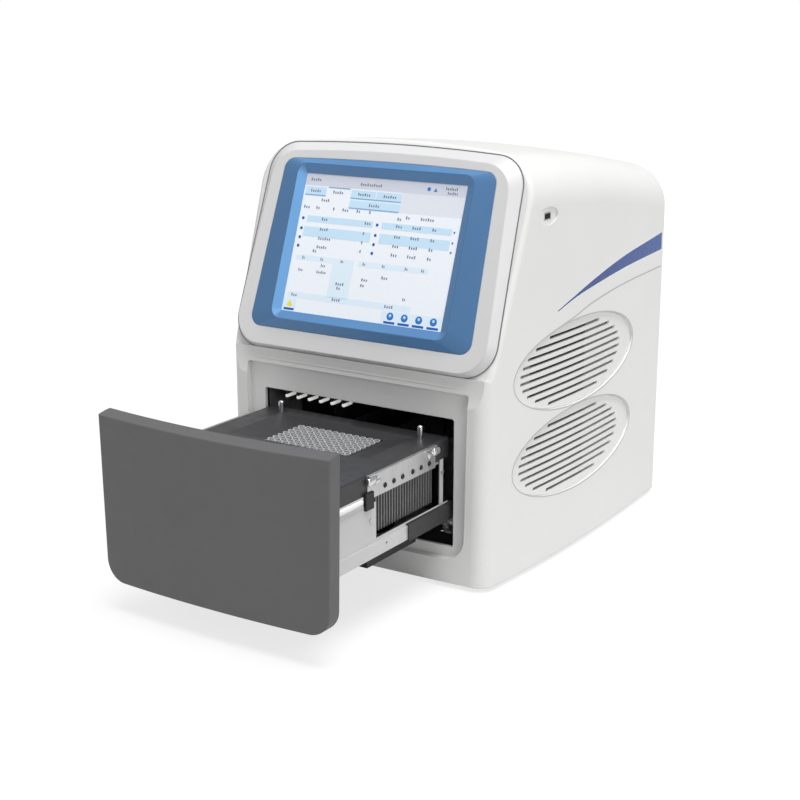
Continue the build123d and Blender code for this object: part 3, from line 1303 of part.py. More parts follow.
with BuildPart() as lid_screw:
    low = TRAY_TOP + 1
    high = BRIDGE_TOP - SHEET - 0.5
    rod((0, SCREW_Y, (low + high) / 2), LID_SCREW_R, high - low)
    rod((0, SCREW_Y, BRIDGE_TOP - 2 * BRIDGE_T), MOTOR_SHAFT_R + RUN, 4 * BRIDGE_T + 1, mode=Mode.SUBTRACT)
save(lid_screw, "lid_screw")

OPTICS_TOP = BRIDGE_TOP + OPTICS_H
with BuildPart() as optics_housing:
    x1, y0, y1 = OPTICS_W / 2, CLOSED_BLOCK_Y - OPTICS_L / 2, CLOSED_BLOCK_Y + OPTICS_L / 2
    block(-x1, x1, y0, y1, BRIDGE_TOP, OPTICS_TOP)
    fillet(optics_housing.edges().filter_by(Axis.Z), radius=5.0)
    block(-x1 + 3, x1 - 3, y0 + 3, y1 - 3, BRIDGE_TOP - 1, OPTICS_TOP - 3, mode=Mode.SUBTRACT)
    rod((0, CLOSED_BLOCK_Y, OPTICS_TOP), 12.0, 20, mode=Mode.SUBTRACT)
save(optics_housing, "optics_housing")

WHEEL_X = -WHEEL_R + 12
WHEEL_Z = OPTICS_TOP + FILTER_MOTOR_H + 2
with BuildPart() as filter_motor:
    rod((WHEEL_X, CLOSED_BLOCK_Y, OPTICS_TOP + FILTER_MOTOR_H / 2), FILTER_MOTOR_R, FILTER_MOTOR_H)
    rod((WHEEL_X, CLOSED_BLOCK_Y, WHEEL_Z), MOTOR_SHAFT_R, 10)
save(filter_motor, "filter_motor")

with BuildPart() as filter_wheel:
    with Locations((WHEEL_X, CLOSED_BLOCK_Y, WHEEL_Z + WHEEL_T / 2)):
        Cylinder(WHEEL_R, WHEEL_T)
        with PolarLocations(-WHEEL_X, FILTERS):
            Cylinder(FILTER_R, 4 * WHEEL_T, mode=Mode.SUBTRACT)
        Cylinder(MOTOR_SHAFT_R + RUN, 8 * WHEEL_T, mode=Mode.SUBTRACT)
save(filter_wheel, "filter_wheel")

SHELF_Z = WHEEL_Z + WHEEL_T + 5
with BuildPart() as detector_bracket:
    for side in (-1, 1):
        y = CLOSED_BLOCK_Y + side * (WHEEL_R + 6)
        block(-20, 20, y, y + side * 3, OPTICS_TOP, SHELF_Z + 3)
    reach = WHEEL_R + 9
    block(-20, 20, CLOSED_BLOCK_Y - reach, CLOSED_BLOCK_Y + reach, SHELF_Z, SHELF_Z + 3)
    rod((0, CLOSED_BLOCK_Y, SHELF_Z), DETECTOR_LENS_R + 0.5, 20, mode=Mode.SUBTRACT)
save(detector_bracket, "detector_bracket")

with BuildPart() as detector:
    low = SHELF_Z + 3
    block(-25, 25, CLOSED_BLOCK_Y - 25, CLOSED_BLOCK_Y + 25, low, low + 42)
    rod((0, CLOSED_BLOCK_Y, low - 3), DETECTOR_LENS_R, 6)
save(detector, "detector")
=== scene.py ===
"""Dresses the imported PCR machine: materials, display picture, trim, baffle, light and camera."""
import math

import bpy
from mathutils import Matrix, Vector, geometry
from mathutils.bvhtree import BVHTree


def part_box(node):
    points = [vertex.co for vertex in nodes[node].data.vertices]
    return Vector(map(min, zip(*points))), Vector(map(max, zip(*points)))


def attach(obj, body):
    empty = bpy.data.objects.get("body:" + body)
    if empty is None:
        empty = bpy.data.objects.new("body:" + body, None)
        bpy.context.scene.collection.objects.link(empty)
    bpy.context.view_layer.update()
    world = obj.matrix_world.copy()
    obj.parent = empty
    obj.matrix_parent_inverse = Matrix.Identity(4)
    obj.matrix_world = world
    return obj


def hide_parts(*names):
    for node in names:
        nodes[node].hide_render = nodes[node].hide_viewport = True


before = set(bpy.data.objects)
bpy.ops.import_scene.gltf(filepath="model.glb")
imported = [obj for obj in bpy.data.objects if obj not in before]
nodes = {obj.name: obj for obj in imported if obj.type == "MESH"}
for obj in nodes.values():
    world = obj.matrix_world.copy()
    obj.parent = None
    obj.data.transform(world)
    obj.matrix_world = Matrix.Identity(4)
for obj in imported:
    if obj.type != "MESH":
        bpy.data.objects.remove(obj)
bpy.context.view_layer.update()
MM = 0.001

# Places read from the frame
FRONT_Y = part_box("body_cover")[0].y
glass_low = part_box("touch_glass")[0]

# The display leans back by this angle
TILT = math.radians(20.0)
ACROSS = Vector((1, 0, 0))
UP = Vector((0, math.sin(TILT), math.cos(TILT)))
OUT = Vector((0, -math.cos(TILT), math.sin(TILT)))


def rgb(r, g, b):
    """Linear colour from an 8-bit display colour."""
    out = []
    for v in (r, g, b):
        c = v / 255
        out.append(c / 12.92 if c <= 0.04045 else ((c + 0.055) / 1.055) ** 2.4)
    return (*out, 1.0)


# Materials


class Shader:
    """A material under construction, with short names for its nodes and links."""

    def __init__(self, name):
        self.material = bpy.data.materials.new(name)
        self.material.use_nodes = True
        self.tree = self.material.node_tree
        self.surface = self.tree.nodes["Principled BSDF"]
        self.place = self.tree.nodes.new("ShaderNodeTexCoord")

    def node(self, kind, **values):
        made = self.tree.nodes.new(kind)
        for key, value in values.items():
            if hasattr(made, key):
                setattr(made, key, value)
            else:
                made.inputs[key.replace("_", " ")].default_value = value
        return made

    def link(self, a, b):
        self.tree.links.new(a, b)

    def stretched(self, scale):
        """Object coordinates in metres, scaled per axis."""
        mapping = self.node("ShaderNodeMapping")
        mapping.inputs["Scale"].default_value = scale
        self.link(self.place.outputs["Object"], mapping.inputs["Vector"])
        return mapping.outputs["Vector"]

    def noise(self, scale, detail=4.0, rough=0.6, vector=None):
        made = self.node("ShaderNodeTexNoise", Scale=scale, Detail=detail, Roughness=rough)
        self.link(vector or self.place.outputs["Object"], made.inputs["Vector"])
        return made.outputs["Fac"]

    def between(self, fac, low, high, start=0.35, end=0.65):
        """Maps a texture's middle range onto low to high."""
        made = self.node("ShaderNodeMapRange")
        made.inputs["From Min"].default_value = start
        made.inputs["From Max"].default_value = end
        made.inputs["To Min"].default_value = low
        made.inputs["To Max"].default_value = high
        self.link(fac, made.inputs["Value"])
        return made.outputs["Result"]

    def mix(self, fac, a, b):
        made = self.node("ShaderNodeMix", data_type="RGBA")
        self.link(fac, made.inputs["Factor"])
        for value, socket in ((a, made.inputs[6]), (b, made.inputs[7])):
            if hasattr(value, "is_output"):
                self.link(value, socket)
            else:
                socket.default_value = value
        return made.outputs[2]

    def tint(self, fac, colour, spread):
        """The colour, a little lighter and darker by a texture."""
        low = [c * (1 - spread) for c in colour[:3]] + [1.0]
        high = [min(1.0, c * (1 + spread)) for c in colour[:3]] + [1.0]
        return self.mix(self.between(fac, 0, 1), low, high)

    def coat(self, base, sheen, rough_low, rough_high):
        """Links the colour, and a texture as the roughness."""
        self.link(base, self.surface.inputs["Base Color"])
        self.link(self.between(sheen, rough_low, rough_high), self.surface.inputs["Roughness"])

    def relief(self, height, strength, distance, radius=None):
        """Bumps the surface by a texture, over edges softened by the radius."""
        bump = self.node("ShaderNodeBump", Strength=strength, Distance=distance)
        self.link(height, bump.inputs["Height"])
        if radius:
            bevel = self.node("ShaderNodeBevel", samples=4)
            bevel.inputs["Radius"].default_value = radius
            self.link(bevel.outputs["Normal"], bump.inputs["Normal"])
        self.link(bump.outputs["Normal"], self.surface.inputs["Normal"])


def moulded(name, colour, rough, spread, grain, depth, radius):
    """Moulded plastic: faint cloudiness, fine spark-eroded grain and softened edges."""
    s = Shader(name)
    s.coat(s.tint(s.noise(9.0, 5.0), colour, spread), s.noise(60.0, 6.0), rough - 0.05, rough + 0.06)
    s.relief(s.noise(grain, 2.0, 0.5), 0.25, depth * MM, radius)
    return s.material


def sheet_metal(name, colour, rough, streak, metallic, spread):
    """Brushed or plated metal, with streaks along its rolling direction and small blotches."""
    s = Shader(name)
    streaks = s.noise(1.0, 6.0, 0.65, s.stretched(streak))
    blotch = s.between(s.noise(45.0, 5.0), 0.0, 0.35)
    base = s.mix(blotch, s.tint(streaks, colour, spread), [c * 0.82 for c in colour[:3]] + [1.0])
    s.surface.inputs["Metallic"].default_value = metallic
    s.coat(base, streaks, rough - 0.08, rough + 0.12)
    s.relief(streaks, 0.3, 0.02 * MM, 0.3 * MM)
    return s.material


def cover_shell(name, colour):
    """The white cover: moulded plastic with a fine satin texture and a trace of dust shade."""
    s = Shader(name)
    dust = s.between(s.noise(420.0, 3.0, 0.7), 0.0, 0.10, 0.5, 0.75)
    base = s.mix(dust, s.tint(s.noise(5.0, 6.0), colour, 0.012), rgb(206, 205, 202))
    s.coat(base, s.noise(35.0, 5.0), 0.36, 0.46)
    s.relief(s.noise(1300.0, 2.0), 0.15, 0.03 * MM, 1.2 * MM)
    return s.material


def board(name):
    """A lacquered circuit board with faint tracks."""
    s = Shader(name)
    tracks = s.node("ShaderNodeTexBrick", Scale=160.0)
    tracks.inputs["Color1"].default_value = rgb(20, 74, 44)
    tracks.inputs["Color2"].default_value = rgb(24, 88, 52)
    tracks.inputs["Mortar"].default_value = rgb(60, 120, 74)
    tracks.inputs["Mortar Size"].default_value = 0.04
    s.link(s.place.outputs["Object"], tracks.inputs["Vector"])
    base = s.mix(s.between(s.noise(20.0), 0.0, 0.4), tracks.outputs["Color"], rgb(16, 60, 38))
    s.coat(base, s.noise(80.0), 0.25, 0.4)
    return s.material


def block_with_painted_well_shade(name, colour, top, depth):
    """Bead-blasted block metal with painted shade: it darkens into each well, from its top down to a
    depth.
    """
    s = Shader(name)
    split = s.node("ShaderNodeSeparateXYZ")
    s.link(s.place.outputs["Object"], split.inputs["Vector"])
    # Painted shade: the colour darkens from the block's top down into each well
    height = s.between(split.outputs["Z"], 0.0, 1.0, top - depth, top)
    base = s.tint(s.noise(600.0, 3.0), colour, 0.08)
    base = s.mix(height, [c * 0.05 for c in colour[:3]] + [1.0], base)
    s.surface.inputs["Metallic"].default_value = 0.3
    s.coat(base, s.noise(300.0), 0.3, 0.45)
    s.relief(s.noise(1500.0, 2.0), 0.3, 0.03 * MM)
    return s.material


def screen_paint(name, colour, glow=0.12):
    """A patch of the lit display, with a faint pixel grid."""
    s = Shader(name)
    base = s.tint(s.noise(900.0, 1.0, 0.4), colour, 0.02)
    s.coat(base, s.noise(40.0), 0.12, 0.2)
    s.link(base, s.surface.inputs["Emission Color"])
    s.surface.inputs["Emission Strength"].default_value = glow
    return s.material


def bezel_painted_light(name, face, slope, lit):
    """Blue moulding with painted light: the front face painted a shade darker than the slopes, and
    faces turned towards +X painted lightest, as if lit from the right.
    """
    s = Shader(name)
    outward = s.node("ShaderNodeVectorMath", operation="DOT_PRODUCT")
    s.link(s.place.outputs["Normal"], outward.inputs[0])
    outward.inputs[1].default_value = tuple(OUT)
    split = s.node("ShaderNodeSeparateXYZ")
    s.link(s.place.outputs["Normal"], split.inputs["Vector"])
    # Painted highlight: faces turned towards +X get the lighter colour, as if lit from the right
    base = s.mix(s.between(split.outputs["X"], 0.0, 1.0, 0.15, 0.5), slope, lit)
    # Painted shade: the front face, facing straight out, gets the deeper colour
    base = s.mix(s.between(outward.outputs["Value"], 0.0, 1.0, 0.93, 0.99), base, face)
    dull = s.mix(s.between(s.noise(9.0, 5.0), 0.0, 0.12), base, rgb(60, 92, 130))
    s.coat(dull, s.noise(60.0, 6.0), 0.29, 0.4)
    s.relief(s.noise(1400.0, 2.0, 0.5), 0.25, 0.012 * MM, 0.8 * MM)
    return s.material


# The painted shade in each well reaches full darkness at this depth below the block's top
WELL_SHADE = 2.5 * MM  # the depth at which a well is fully dark
EVEN = (200.0, 200.0, 200.0)
PLATED = (250.0, 250.0, 250.0)
BRUSHED = (30.0, 900.0, 30.0)
ROLLED = (60.0, 300.0, 60.0)
DRAWN = (400.0, 20.0, 400.0)
EXTRUDED = (20.0, 300.0, 300.0)
block_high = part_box("sample_block")[1]
WHITE = cover_shell("cover_white", rgb(232, 232, 231))
GREY_HOUSING = moulded("housing_grey", rgb(219, 219, 220), 0.38, 0.012, 900.0, 0.012, 1.6 * MM)
# The bezel's colours are painted light: a darker front face, mid slopes, and a painted highlight on
# slopes facing right
BLUE = bezel_painted_light("bezel_blue", rgb(77, 119, 163), rgb(88, 136, 186), rgb(120, 178, 234))
PANEL = moulded("panel_grey", rgb(95, 95, 96), 0.46, 0.03, 1100.0, 0.03, 0.7 * MM)
TRAY = moulded("tray_dark", rgb(50, 50, 52), 0.36, 0.08, 800.0, 0.02, 1.2 * MM)
BLACK = moulded("black_plastic", rgb(28, 28, 29), 0.5, 0.08, 700.0, 0.03, 0.4 * MM)
RUBBER = moulded("rubber", rgb(34, 34, 35), 0.75, 0.1, 500.0, 0.06, 0.6 * MM)
LIGHT_PLATE = moulded("plate_white", rgb(200, 200, 200), 0.4, 0.02, 900.0, 0.02, 0.5 * MM)
CERAMIC = moulded("ceramic", rgb(228, 226, 220), 0.5, 0.03, 900.0, 0.02, 0.3 * MM)
ROLL = moulded("roll_white", rgb(244, 244, 244), 0.25, 0.02, 900.0, 0.01, 0.4 * MM)
# Painted shade: a grey for thin lines standing in for the shade of small steps in the cover
SHADE_LINE = moulded("painted_shade_grey", rgb(186, 186, 188), 0.6, 0.05, 900.0, 0.02, 0.3 * MM)
LINER = moulded("liner_grey", rgb(150, 150, 150), 0.6, 0.05, 600.0, 0.03, 0.3 * MM)
FOAM = moulded("filter_foam", rgb(38, 38, 39), 0.9, 0.25, 260.0, 0.4, 0.3 * MM)
GASKET = moulded("gasket", rgb(120, 120, 122), 0.7, 0.08, 600.0, 0.02, 0.2 * MM)
STEEL = sheet_metal("brushed_steel", rgb(214, 214, 214), 0.34, BRUSHED, 1.0, 0.10)
ZINC = sheet_metal("zinc_sheet", rgb(196, 197, 199), 0.42, ROLLED, 0.85, 0.08)
SLIDE = sheet_metal("slide_steel", rgb(214, 214, 214), 0.4, DRAWN, 0.4, 0.05)
CHROME = sheet_metal("polished_steel", rgb(232, 232, 234), 0.14, EVEN, 1.0, 0.03)
SINK = sheet_metal("sink_aluminium", rgb(150, 150, 151), 0.42, EXTRUDED, 0.5, 0.14)
# The middle and outer slides get a dark steel colour
DARK_SLIDE = sheet_metal("slide_dark", rgb(74, 74, 76), 0.45, DRAWN, 0.6, 0.08)
LID_METAL = sheet_metal("lid_aluminium", rgb(170, 170, 172), 0.4, PLATED, 0.9, 0.05)
BOARD = board("circuit_board")
BLOCK = block_with_painted_well_shade("block_metal", rgb(232, 232, 234), block_high.z, WELL_SHADE)
# The baffle's pale bars glow a little: painted light
PAINTED_LIGHT_BAR = screen_paint("painted_light_bar", rgb(244, 244, 242), 0.45)

# What each node wears: the dark ones are black plastic, and the rest zinc sheet
DRESS = {
    "body_cover": WHITE,
    "left_grilles": WHITE,
    "right_grilles": WHITE,
    "display_housing": GREY_HOUSING,
    "display_bezel": BLUE,
    "drawer_panel": PANEL,
    "tray_cover": TRAY,
    "panel_backplate": TRAY,
    "side_plates": LIGHT_PLATE,
    "side_brackets": STEEL,
    "usb_port": STEEL,
    "cover_screws": STEEL,
    "side_screws": STEEL,
    "rear_ports": STEEL,
    "drive_rack": STEEL,
    "drive_pinion": STEEL,
    "lid_screw": STEEL,
    "bracket_clips": CHROME,
    "guide_pins": CHROME,
    "lid_posts": CHROME,
    "sample_block": BLOCK,
    "heat_sink": SINK,
    "peltier_modules": CERAMIC,
    "heated_lid": LID_METAL,
    "lid_carrier": LID_METAL,
    "control_board": BOARD,
    "main_board": BOARD,
    "feet": RUBBER,
    "power_rocker": RUBBER,
    "inner_slides": SLIDE,
    "slide_middle_left": DARK_SLIDE,
    "slide_middle_right": DARK_SLIDE,
    "outer_slides": DARK_SLIDE,
}
DARK = (
    "light_baffle",
    "display_module",
    "rear_fan_frames",
    "sink_fan_frames",
    "rear_rotor_left",
    "rear_rotor_right",
    "sink_rotor_left",
    "sink_rotor_right",
    "power_inlet",
    "switch_body",
    "optics_housing",
    "filter_motor",
    "filter_wheel",
    "detector",
)
for name, node in nodes.items():
    material = DRESS.get(name, BLACK if name in DARK else ZINC)
    node.data.materials.clear()
    node.data.materials.append(material)

# The glass is pale and smooth, and the picture lies on its front
PANE = rgb(236, 241, 246)
pane = Shader("glass_pane")
pane.surface.inputs["Base Color"].default_value = PANE
pane.coat(pane.tint(pane.noise(8.0), PANE, 0.02), pane.noise(25.0), 0.05, 0.12)
nodes["touch_glass"].data.materials.clear()
nodes["touch_glass"].data.materials.append(pane.material)


def add_mesh(name, points, faces, material, body="body", smooth=False):
    """A mesh piece from points in the row frame, which rides on a body."""
    mesh = bpy.data.meshes.new(name)
    mesh.from_pydata([tuple(p) for p in points], [], faces)
    mesh.update()
    obj = bpy.data.objects.new(name, mesh)
    bpy.context.scene.collection.objects.link(obj)
    mesh.materials.append(material)
    if smooth:
        for polygon in mesh.polygons:
            polygon.use_smooth = True
    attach(obj, body)
    return obj


def ribbon(name, rows, material, turned, closed=False):
    """A smooth strip of faces through rows of equally many points, which may close on itself."""
    width = len(rows[0])
    faces = []
    for k in range(len(rows) if closed else len(rows) - 1):
        a, b = width * k, width * ((k + 1) % len(rows))
        for r in range(width - 1):
            face = (a + r, a + r + 1, b + r + 1, b + r)
            faces.append(face[::-1] if turned else face)
    points = [point for row in rows for point in row]
    return add_mesh(name, points, faces, material, smooth=True)


def bar_faces(stations, turned=False, closed=False):
    """The long faces of a bar that has four points at each station."""
    faces = []
    for k in range(stations if closed else stations - 1):
        a, b = 4 * k, 4 * ((k + 1) % stations)
        for i, j in ((0, 1), (1, 3), (3, 2), (2, 0)):
            face = (a + i, a + j, b + j, b + i)
            faces.append(face[::-1] if turned else face)
    return faces


# The picture on the display, drawn in the screen's own directions
SCREEN_W = 208 * MM
SCREEN_L = 156 * MM
GLASS_LAP = 5 * MM
GLASS_T = 2.2 * MM
# The glass front's lower edge, in the middle of its width
glass_foot = Vector((0, glass_low.y, glass_low.z)) + GLASS_T * Vector((0, 0, math.sin(TILT)))
screen_foot = glass_foot + GLASS_LAP * UP


def on_screen(u, v, lift):
    """A point on the picture: u across and v up, from 0 to 1, lifted off the glass."""
    return screen_foot + (u - 0.5) * SCREEN_W * ACROSS + v * SCREEN_L * UP + lift * OUT


LAYER = 0.06 * MM
DISC_SIDES = 24
STROKE = 0.012
STROKE_SMALL = 0.009
STROKE_PITCH = 1.15
STROKE_W = 0.62
STROKE_H = 0.014
STROKE_TALL = 0.020
paints = {}


def paint(key):
    """One screen material per colour."""
    if key not in paints:
        paints[key] = screen_paint("screen_%02x%02x%02x" % key, rgb(*key))
    return paints[key]


def patches(name, colour, rectangles, layer):
    """Flat rectangles of one colour, as (left, bottom, right, top) shares of the screen."""
    points, faces = [], []
    for u0, v0, u1, v1 in rectangles:
        first = len(points)
        for u, v in ((u0, v0), (u1, v0), (u1, v1), (u0, v1)):
            points.append(on_screen(u, v, layer * LAYER))
        faces.append((first, first + 1, first + 2, first + 3))
    return add_mesh(name, points, faces, paint(colour))


def discs(name, colour, centres, radius, layer):
    """Flat round marks."""
    points, faces = [], []
    for u, v in centres:
        first = len(points)
        for k in range(DISC_SIDES):
            turn = 2 * math.pi * k / DISC_SIDES
            du = radius * math.cos(turn) / SCREEN_W
            dv = radius * math.sin(turn) / SCREEN_L
            points.append(on_screen(u + du, v + dv, layer * LAYER))
        faces.append(tuple(range(first, first + DISC_SIDES)))
    return add_mesh(name, points, faces, paint(colour))


def word(u, v, count, size=STROKE):
    """Short strokes in a row, like text too small to read; every third one is tall."""
    marks = []
    for k in range(count):
        left = u + STROKE_PITCH * k * size
        tall = STROKE_H if k % 3 else STROKE_TALL
        marks.append((left, v, left + STROKE_W * size, v + tall))
    return marks


def triangle(name, colour, u, v, half, layer):
    """A small upright triangle."""
    du, dv = half / SCREEN_W, half / SCREEN_L
    corners = ((-1, -0.8), (1, -0.8), (0, 0.9))
    points = [on_screen(u + x * du, v + y * dv, layer * LAYER) for x, y in corners]
    return add_mesh(name, points, [(0, 1, 2)], paint(colour))


PALE = (196, 224, 244)
MIST = (219, 235, 247)
PAPER = (236, 241, 248)
BAR = (208, 212, 224)
BAR_LIGHT = (222, 226, 235)
STEEL_BLUE = (122, 170, 216)
DOT = (24, 92, 176)
INK = (112, 122, 150)
MARK = (70, 120, 190)
BUTTON = (44, 118, 196)
HEART = (190, 220, 244)
FLAG = (52, 128, 206)
LAMP = (234, 218, 44)
patches("screen_paper", PAPER, [(0, 0, 1, 1)], 1)
patches("screen_top_bar", BAR, [(0, 0.915, 1, 1)], 2)
patches("screen_shade", BAR_LIGHT, [(0.62, 0.775, 1, 0.915)], 2)
tabs = [(0.01, 0.845, 0.145, 0.905), (0.305, 0.845, 0.46, 0.905), (0.465, 0.845, 0.62, 0.905)]
patches("screen_tabs", PALE, tabs + [(0.305, 0.775, 0.62, 0.832)], 3)
lines = [(0.01, 0.842, 0.145, 0.850), (0.155, 0.905, 0.295, 0.913), (0.305, 0.842, 0.62, 0.850)]
patches("screen_tab_lines", STEEL_BLUE, lines + [(0.305, 0.772, 0.62, 0.780)], 4)
heads = [(0.055, 0.652, 0.475, 0.697), (0.53, 0.652, 0.955, 0.697)]
bands = [(0.045, 0.548, 0.475, 0.617), (0.53, 0.548, 0.955, 0.617)]
patches("screen_rows", PALE, heads + bands, 3)
table = [(0.03, 0.372, 0.27, 0.412), (0.43, 0.372, 0.86, 0.412)]
table += [(0.27, 0.13, 0.405, 0.41), (0.02, 0.098, 0.80, 0.142)]
patches("screen_table", MIST, table, 2)
patches("screen_foot_tiles", MIST, [(0.005, 0.0, 0.085, 0.092), (0.63, 0.0, 0.99, 0.092)], 3)
BUTTONS = [0.685, 0.772, 0.859, 0.946]
labels = [(0.012, 0.008, 0.078, 0.024)] + [(u - 0.034, 0.006, u + 0.034, 0.022) for u in BUTTONS]
patches("screen_foot_labels", DOT, labels, 4)
ROW_HEIGHTS = [0.675, 0.602, 0.537, 0.475]
DOT_R = 1.75 * MM
MARK_R = 1.2 * MM
BUTTON_R = 4.3 * MM
HEART_R = 1.6 * MM
FLAG_R = 2.2 * MM
LAMP_HALF = 4.2 * MM
MAST_HALF = 2.4 * MM
discs("screen_dots_left", DOT, [(0.028, v) for v in ROW_HEIGHTS], DOT_R, 4)
discs("screen_dots_right", DOT, [(0.503, v) for v in ROW_HEIGHTS], DOT_R, 4)
discs("screen_marks", MARK, [(0.97, v) for v in ROW_HEIGHTS[:3]], MARK_R, 4)
discs("screen_buttons", BUTTON, [(u, 0.058) for u in BUTTONS], BUTTON_R, 4)
discs("screen_button_hearts", HEART, [(u, 0.064) for u in BUTTONS], HEART_R, 5)
discs("screen_flag", FLAG, [(0.775, 0.955)], FLAG_R, 4)
triangle("screen_lamp", LAMP, 0.045, 0.058, LAMP_HALF, 4)
triangle("screen_mast", FLAG, 0.815, 0.952, MAST_HALF, 4)

# Words as (left, bottom, strokes), from the top of the picture down
TOP_WORDS = [(0.035, 0.948, 5), (0.355, 0.94, 10)]
CORNER_WORDS = [(0.875, 0.958, 7), (0.89, 0.928, 6)]
TAB_WORDS = [(0.045, 0.868, 5), (0.19, 0.868, 5), (0.35, 0.868, 6), (0.51, 0.868, 6)]
HEAD_WORDS = [(0.43, 0.796, 5), (0.125, 0.805, 4), (0.02, 0.748, 3), (0.10, 0.748, 2)]
HEAD_WORDS += [(0.21, 0.748, 1), (0.27, 0.748, 3), (0.36, 0.748, 2), (0.44, 0.748, 1)]
HEAD_WORDS += [(0.62, 0.72, 2), (0.67, 0.735, 2), (0.76, 0.735, 6)]
ROW_STROKES = (3, 4, 6, 5)
ROW_DROP = 0.006
COLUMNS = (0.07, 0.19, 0.32, 0.46, 0.58, 0.72, 0.82)
LEFT_WORDS = [(0.20, 0.34, 3), (0.18, 0.292, 6), (0.06, 0.295, 3)]
MIDDLE_WORDS = [(0.315, 0.225, 4), (0.325, 0.195, 2), (0.47, 0.275, 3), (0.47, 0.235, 2)]
MIDDLE_WORDS += [(0.59, 0.305, 3)]
FOOT_WORDS = [(0.045, 0.112, 3), (0.31, 0.112, 4), (0.64, 0.112, 4)]


def words(places, size=STROKE):
    """The strokes of several words."""
    return [mark for u, v, count in places for mark in word(u, v, count, size)]


strokes = words(TOP_WORDS) + words(CORNER_WORDS, STROKE_SMALL) + words(TAB_WORDS + HEAD_WORDS)
for height, count in zip(ROW_HEIGHTS, ROW_STROKES):
    v = height - ROW_DROP
    strokes += words([(0.15, v, count), (0.425, v, 3 if count == 3 else 1)])
    strokes += words([(0.62, v, 3), (0.72, v, 4), (0.84, v, 2)])
strokes += word(0.13, 0.438, 2) + words([(u, 0.384, 2) for u in COLUMNS] + LEFT_WORDS, STROKE_SMALL)
strokes += words(MIDDLE_WORDS) + word(0.74, 0.175, 2, STROKE_SMALL) + words(FOOT_WORDS)
patches("screen_strokes", INK, strokes, 5)


# Side trim: the blue sweep, and grey lines painted as the shade of the character line's step and of the
# grille recesses' edges, follow the cover's surface
depsgraph = bpy.context.evaluated_depsgraph_get()
cover_tree = BVHTree.FromObject(nodes["body_cover"], depsgraph)
OPENING_Y = 11.0  # the drawer opening's plane, in millimetres behind the cover's front
COVER_FOOT = 5.0  # the cover's foot, in millimetres above the table
OUTSIDE = 0.4  # metres from the middle, well outside the cover


def drawn(y, z):
    """Row-frame y and z of millimetres from the drawer opening's plane and the cover's foot."""
    return (y + OPENING_Y) * MM + FRONT_Y, (z + COVER_FOOT) * MM


def on_side(side, y, z, lift):
    """The point on the cover's side at this depth and height, lifted off it."""
    start = Vector((side * OUTSIDE, y, z))
    hit, normal, _, _ = cover_tree.ray_cast(start, Vector((-side, 0, 0)))
    if normal.x * side < 0:
        normal = -normal
    return hit + lift * normal


def smooth_path(points, steps):
    """Points on a smooth curve through the given ones."""
    spread = []
    count = len(points)
    for k in range(count - 1):
        before = points[max(k - 1, 0)]
        a, b = points[k], points[k + 1]
        after = points[min(k + 2, count - 1)]
        for n in range(steps):
            t = n / steps
            values = []
            for i in range(2):
                p0, p1, p2, p3 = before[i], a[i], b[i], after[i]
                value = 2 * p1 + (p2 - p0) * t + (2 * p0 - 5 * p1 + 4 * p2 - p3) * t * t
                value += (3 * p1 - p0 - 3 * p2 + p3) * t**3
                values.append(value / 2)
            spread.append(tuple(values))
    spread.append(points[-1])
    return spread


# Outlines as (y, z) for drawn(), from the front to the rear, and the line from the rear
SWEEP_UPPER = [(125.2, 281.0), (203.1, 301.3), (290.9, 317.4), (403.5, 328.6)]
SWEEP_LOWER = [(125.2, 279.6), (183.3, 292.0), (292.2, 303.2), (404.2, 307.9)]
LINE = [(416.3, 287.1), (294.1, 284.5), (209.9, 276.6), (161.7, 267.0), (115.0, 258.9)]
SWEEP_STEPS = 14
SWEEP_ROWS = 3
SWEEP_LIFT = 0.12 * MM
EDGE_LIFT = 0.05 * MM
EDGE_W = 1.3
FADE_FROM = 125.2
FADE_TO = 404
LINE_STEPS = 12
LINE_LIFT = 0.1 * MM
LINE_HALF = 0.8 * MM
# The louvred ovals, in millimetres behind the cover's front and above the table
GRILLE_Y = 192.0
GRILLE_HALF_L = 140
GRILLE_HALF_H = 48
GRILLES = (("upper", 220.5), ("lower", 121.5))
OVAL_LINE = (0.5, 1.7)  # its inner and outer edge, in millimetres outside the oval
OVAL_LIFT = 0.08 * MM
OVAL_STEPS = 120

sweep_paint = Shader("sweep_blue")
ends = sweep_paint.node("ShaderNodeSeparateXYZ")
sweep_paint.link(sweep_paint.place.outputs["Object"], ends.inputs["Vector"])
tip_y, end_y = drawn(FADE_FROM, 0)[0], drawn(FADE_TO, 0)[0]
fade = sweep_paint.between(ends.outputs["Y"], 0.0, 1.0, tip_y, end_y)
shade = sweep_paint.mix(fade, rgb(46, 70, 136), rgb(50, 86, 156))
speckle = sweep_paint.between(sweep_paint.noise(30.0), 0.0, 0.06)
shade = sweep_paint.mix(speckle, shade, rgb(96, 112, 160))
sweep_paint.coat(shade, sweep_paint.noise(120.0), 0.3, 0.42)
